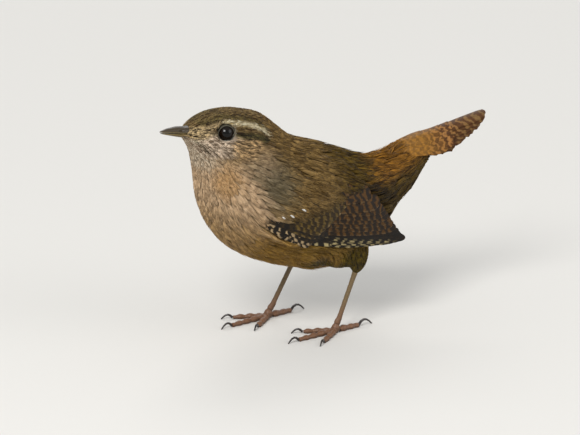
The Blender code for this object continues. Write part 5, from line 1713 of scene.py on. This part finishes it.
def build_bill(look):
    """Both halves of the bill as smooth horn, and the fleshy corner of the mouth."""
    tone = bpy.context.scene.wren_bare
    for half in ("upper", "lower"):
        node = "bill_" + half
        obj = remeshed_copy(node + "_horn", (node,), BILL_VOXEL, 0.0, 3)
        points = plan_points(obj.data)
        head = head_plane(points)
        rear = head[:, 0] - BILL_BASE_LEAN * head[:, 2]
        sunk = BILL_SUNK * smooth_step(rear.max() - 0.6, rear.max() - 0.15, rear)
        move_vertices(obj.data, points + np.array(HEAD_AHEAD) * sunk[:, None])
        edge_line = np.interp(head[:, 0], (-44.8, -42.2, -39.6, -37.3), (61.95, 61.6, 61.15, 60.75))
        height = np.abs(head[:, 2] - edge_line)
        edge = smooth_step(0.55, 0.10, height)[:, None]
        main = np.array(tone.bill_upper if half == "upper" else tone.bill_lower)
        tip = smooth_step(-42.5, -45.0, head[:, 0])[:, None] * 0.5
        tint = mix(mix(main, np.array(tone.bill_edge), edge * 0.75), np.array(tone.bill_upper), tip)
        paint(obj.data, "Tint", np.broadcast_to(tint, points.shape))
        finish_piece(obj, look, (node,))
    rings, tips = [], []
    for side in SIDES.values():
        ring = []
        for k, (x, y, z) in enumerate(GAPE_PLACES):
            centre = np.array(head_turned((x, side * y, z)))
            radius = (0.14, 0.24, 0.24, 0.15)[k]
            angles = np.linspace(0.0, 2.0 * math.pi, 13)[:-1]
            outward = np.stack((np.zeros(12), np.cos(angles) * side, np.sin(angles) * 0.8), axis=1)
            ring.append(centre + outward * radius)
        rings.append(np.array(ring)[:, :: int(side)])
        tips.append(np.array(head_turned((GAPE_PLACES[-1][0] + 0.6, side * 4.0, 58.6))))
    points, faces = pointed_bars(np.array(rings), np.array(tips))
    tint = np.tile(np.array(tone.gape), (len(points), 1))
    finish_piece(mesh_object("gape", points, faces, tint), look)


def along_bone(points, start, end):
    """Distance of each place along a bone from its start."""
    start, end = np.array(start), np.array(end)
    ahead = (end - start) / np.linalg.norm(end - start)
    return (points - start) @ ahead


def build_legs(look, claw_look):
    """Scaled shanks and toes as one skin a leg, and horn claws."""
    tone = bpy.context.scene.wren_bare
    for name in SIDES:
        toes = ["toe_%s_%s" % (name, toe) for toe in TOES]
        nodes = ("tarsus_" + name, "foot_" + name, *toes)
        obj = remeshed_copy("leg_" + name, nodes, LEG_VOXEL, 0.19, 3, proud=0.05)
        points, normals = plan_points(obj.data), vertex_normals(obj.data)
        along = along_bone(points, HEEL[name], FOOT[name])
        shank = smooth_step(2.2, 3.2, points[:, 2])
        front = smooth_step(-0.1, 0.3, -normals[:, 0])
        step = along / SCUTE_LENGTH % 1.0
        scale = smooth_step(0.0, 0.12, step) * (1.0 - 0.5 * step)
        foot = np.array(FOOT[name])
        reach = np.linalg.norm((points - foot)[:, :2], axis=1)
        toe_step = reach / TOE_SCUTE_LENGTH % 1.0
        on_top = smooth_step(0.0, 0.4, normals[:, 2])
        toe_scale = smooth_step(0.0, 0.18, toe_step) * (1.0 - 0.5 * toe_step) * on_top
        rise = mix(toe_scale, scale * (0.35 + 0.65 * front), shank)
        toe_joints = 0.55 + 0.45 * np.cos(reach / TOE_JOINT * 2.0 * math.pi)
        swell = TOE_SWELL * toe_joints * (1.0 - shank)
        grown = points + normals * ((rise - 0.5) * SCUTE_RISE + swell)[:, None]
        grown[:, 2] = np.maximum(grown[:, 2], points[:, 2].min())
        move_vertices(obj.data, grown)
        up_leg = smooth_step(0.5, 9.0, points[:, 2])[:, None]
        skin = mix(np.array(tone.toe), np.array(tone.leg), up_leg)
        crease = 0.62 + 0.38 * smooth_step(0.0, 0.35, rise)
        paint(obj.data, "Tint", skin * crease[:, None])
        finish_piece(obj, look, nodes)
        claws = ["claw_%s_%s" % (name, toe) for toe in TOES]
        horn = remeshed_copy("claws_" + name, claws, CLAW_VOXEL, 0.1, 2, proud=0.1)
        points = plan_points(horn.data)
        pale = smooth_step(0.2, 1.4, points[:, 2])[:, None]
        paint(horn.data, "Tint", np.array(tone.claw) * (0.7 + 0.8 * pale))
        finish_piece(horn, claw_look, claws)


def build_stage():
    """Paper floor, three soft lights, room light and the photograph's camera."""
    settings = bpy.context.scene.wren_stage
    bm = bmesh.new()
    bmesh.ops.create_grid(bm, x_segments=8, y_segments=8, size=4.0)
    mesh = bpy.data.meshes.new("floor")
    bm.to_mesh(mesh)
    bm.free()
    floor = linked("floor", mesh)
    mesh.materials.append(floor_material(tuple(settings.floor)))

    target = (Vector(VIEW_TARGET) + Vector(PLAN_AT)) * MM
    lights = (
        ("key", settings.key_power, 0.55, (-0.75, -0.75, 0.95)),
        ("fill", settings.fill_power, 0.8, (0.9, -0.8, 0.5)),
        ("back", settings.rim_power, 0.6, (0.35, 0.9, 0.9)),
    )
    for name, power, size, place in lights:
        lamp = bpy.data.lights.new(name, "AREA")
        lamp.energy = power
        lamp.size = size
        obj = linked(name, lamp)
        obj.location = target + Vector(place)
        obj.rotation_euler = Vector(place).to_track_quat("Z", "Y").to_euler()

    world = bpy.data.worlds.new("room")
    world.use_nodes = True
    background = world.node_tree.nodes["Background"]
    background.inputs["Color"].default_value = (0.93, 0.96, 1.0, 1.0)
    background.inputs["Strength"].default_value = settings.sky
    bpy.context.scene.world = world

    back = Vector(
        (
            math.sin(VIEW_AZIMUTH) * math.cos(VIEW_ELEVATION),
            -math.cos(VIEW_AZIMUTH) * math.cos(VIEW_ELEVATION),
            math.sin(VIEW_ELEVATION),
        )
    )
    lens = bpy.data.cameras.new("camera")
    lens.sensor_width = SENSOR
    lens.lens = SENSOR * VIEW_DISTANCE / VIEW_WIDTH
    lens.clip_start = 0.05
    camera = linked("camera", lens)
    camera.location = target + back * (VIEW_DISTANCE * MM)
    camera.rotation_euler = back.to_track_quat("Z", "Y").to_euler()
    bpy.context.scene.camera = camera
    bpy.context.scene.view_settings.view_transform = "Standard"


def shared_look(name, make):
    """A material by name, made once."""
    return bpy.data.materials.get(name) or make()


class WREN_OT_skin(bpy.types.Operator):
    """Make the smooth skin under the coat"""

    bl_idname = "wren.skin"
    bl_label = "Skin"

    def execute(self, context):
        build_skin(skin_material())
        return {"FINISHED"}


class WREN_OT_coat(bpy.types.Operator):
    """Lay the small feathers of the body, head, thighs and scapulars"""

    bl_idname = "wren.coat"
    bl_label = "Body feathers"

    def execute(self, context):
        look = shared_look("plumage barbs", plumage_material)
        beds = {name: Bed("wing_" + name, side) for name, side in SIDES.items()}
        build_coat(bpy.data.objects["skin"], beds, look)
        for name, bed in beds.items():
            build_scapulars("coat_scapulars_" + name, bed, look)
            build_dots("coat_dots_" + name, bed, look)
        return {"FINISHED"}


class WREN_OT_wings(bpy.types.Operator):
    """Lay the vanes of both folded wings"""

    bl_idname = "wren.wings"
    bl_label = "Wings"

    def execute(self, context):
        look = shared_look("vane keratin", vane_material)
        for name, side in SIDES.items():
            dice = np.random.default_rng(context.scene.wren_coat.seed + SEED_STEPS["wings"])
            bed = Bed("wing_" + name, side)
            wing = lay_wing("wing_feathers_" + name, side, bed, dice)
            outward(wing)
            finish_piece(wing, look, ("wing_" + name,))
        return {"FINISHED"}


class WREN_OT_tail(bpy.types.Operator):
    """Lay the twelve tail feathers"""

    bl_idname = "wren.tail"
    bl_label = "Tail"

    def execute(self, context):
        look = shared_look("vane keratin", vane_material)
        tail = lay_tail(np.random.default_rng(context.scene.wren_coat.seed + SEED_STEPS["tail"]))
        outward(tail)
        finish_piece(tail, look, ("tail",))
        return {"FINISHED"}


def outward(obj):
    """Turns every face of closed shells outwards."""
    bm = bmesh.new()
    bm.from_mesh(obj.data)
    bmesh.ops.recalc_face_normals(bm, faces=bm.faces)
    bm.to_mesh(obj.data)
    bm.free()


class WREN_OT_eyes(bpy.types.Operator):
    """Make the eyeballs and their lids"""

    bl_idname = "wren.eyes"
    bl_label = "Eyes"

    def execute(self, context):
        build_eyes(eye_material())
        build_lids(lid_material())
        return {"FINISHED"}


class WREN_OT_bill(bpy.types.Operator):
    """Make both halves of the bill and the corners of the mouth"""

    bl_idname = "wren.bill"
    bl_label = "Bill"

    def execute(self, context):
        build_bill(horn_material("bill horn", 0.34, 0.5))
        return {"FINISHED"}


class WREN_OT_legs(bpy.types.Operator):
    """Make the scaled shanks and toes, and the claws"""

    bl_idname = "wren.legs"
    bl_label = "Legs and claws"

    def execute(self, context):
        build_legs(scute_material(), horn_material("claw horn", 0.28, 0.4))
        return {"FINISHED"}


class WREN_OT_stage(bpy.types.Operator):
    """Set the floor, the lights and the camera"""

    bl_idname = "wren.stage"
    bl_label = "Stage"

    def execute(self, context):
        build_stage()
        return {"FINISHED"}


OPERATORS = (
    WREN_OT_skin,
    WREN_OT_coat,
    WREN_OT_wings,
    WREN_OT_tail,
    WREN_OT_eyes,
    WREN_OT_bill,
    WREN_OT_legs,
    WREN_OT_stage,
)
GROUPS = {
    "wren_coat": WREN_PG_coat,
    "wren_plumage": WREN_PG_plumage,
    "wren_bare": WREN_PG_bare,
    "wren_stage": WREN_PG_stage,
}


class WREN_PT_sidebar(bpy.types.Panel):
    """Lists the wren's pieces and settings"""

    bl_label = "Wren"
    bl_idname = "WREN_PT_sidebar"
    bl_space_type = "VIEW_3D"
    bl_region_type = "UI"
    bl_category = "Wren"

    def draw(self, context):
        for operator in OPERATORS:
            self.layout.operator(operator.bl_idname)
        for group, kind in GROUPS.items():
            box = self.layout.box()
            for key in kind.__annotations__:
                box.prop(getattr(context.scene, group), key)


def register():
    for kind in (*GROUPS.values(), *OPERATORS, WREN_PT_sidebar):
        bpy.utils.register_class(kind)
    for name, kind in GROUPS.items():
        setattr(bpy.types.Scene, name, PointerProperty(type=kind))


def unregister():
    for name in GROUPS:
        delattr(bpy.types.Scene, name)
    for kind in reversed((*GROUPS.values(), *OPERATORS, WREN_PT_sidebar)):
        bpy.utils.unregister_class(kind)


def main():
    register()
    for operator in OPERATORS:
        getattr(bpy.ops.wren, operator.bl_idname.split(".")[1])()
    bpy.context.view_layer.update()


if __name__ == "__main__":
    main()
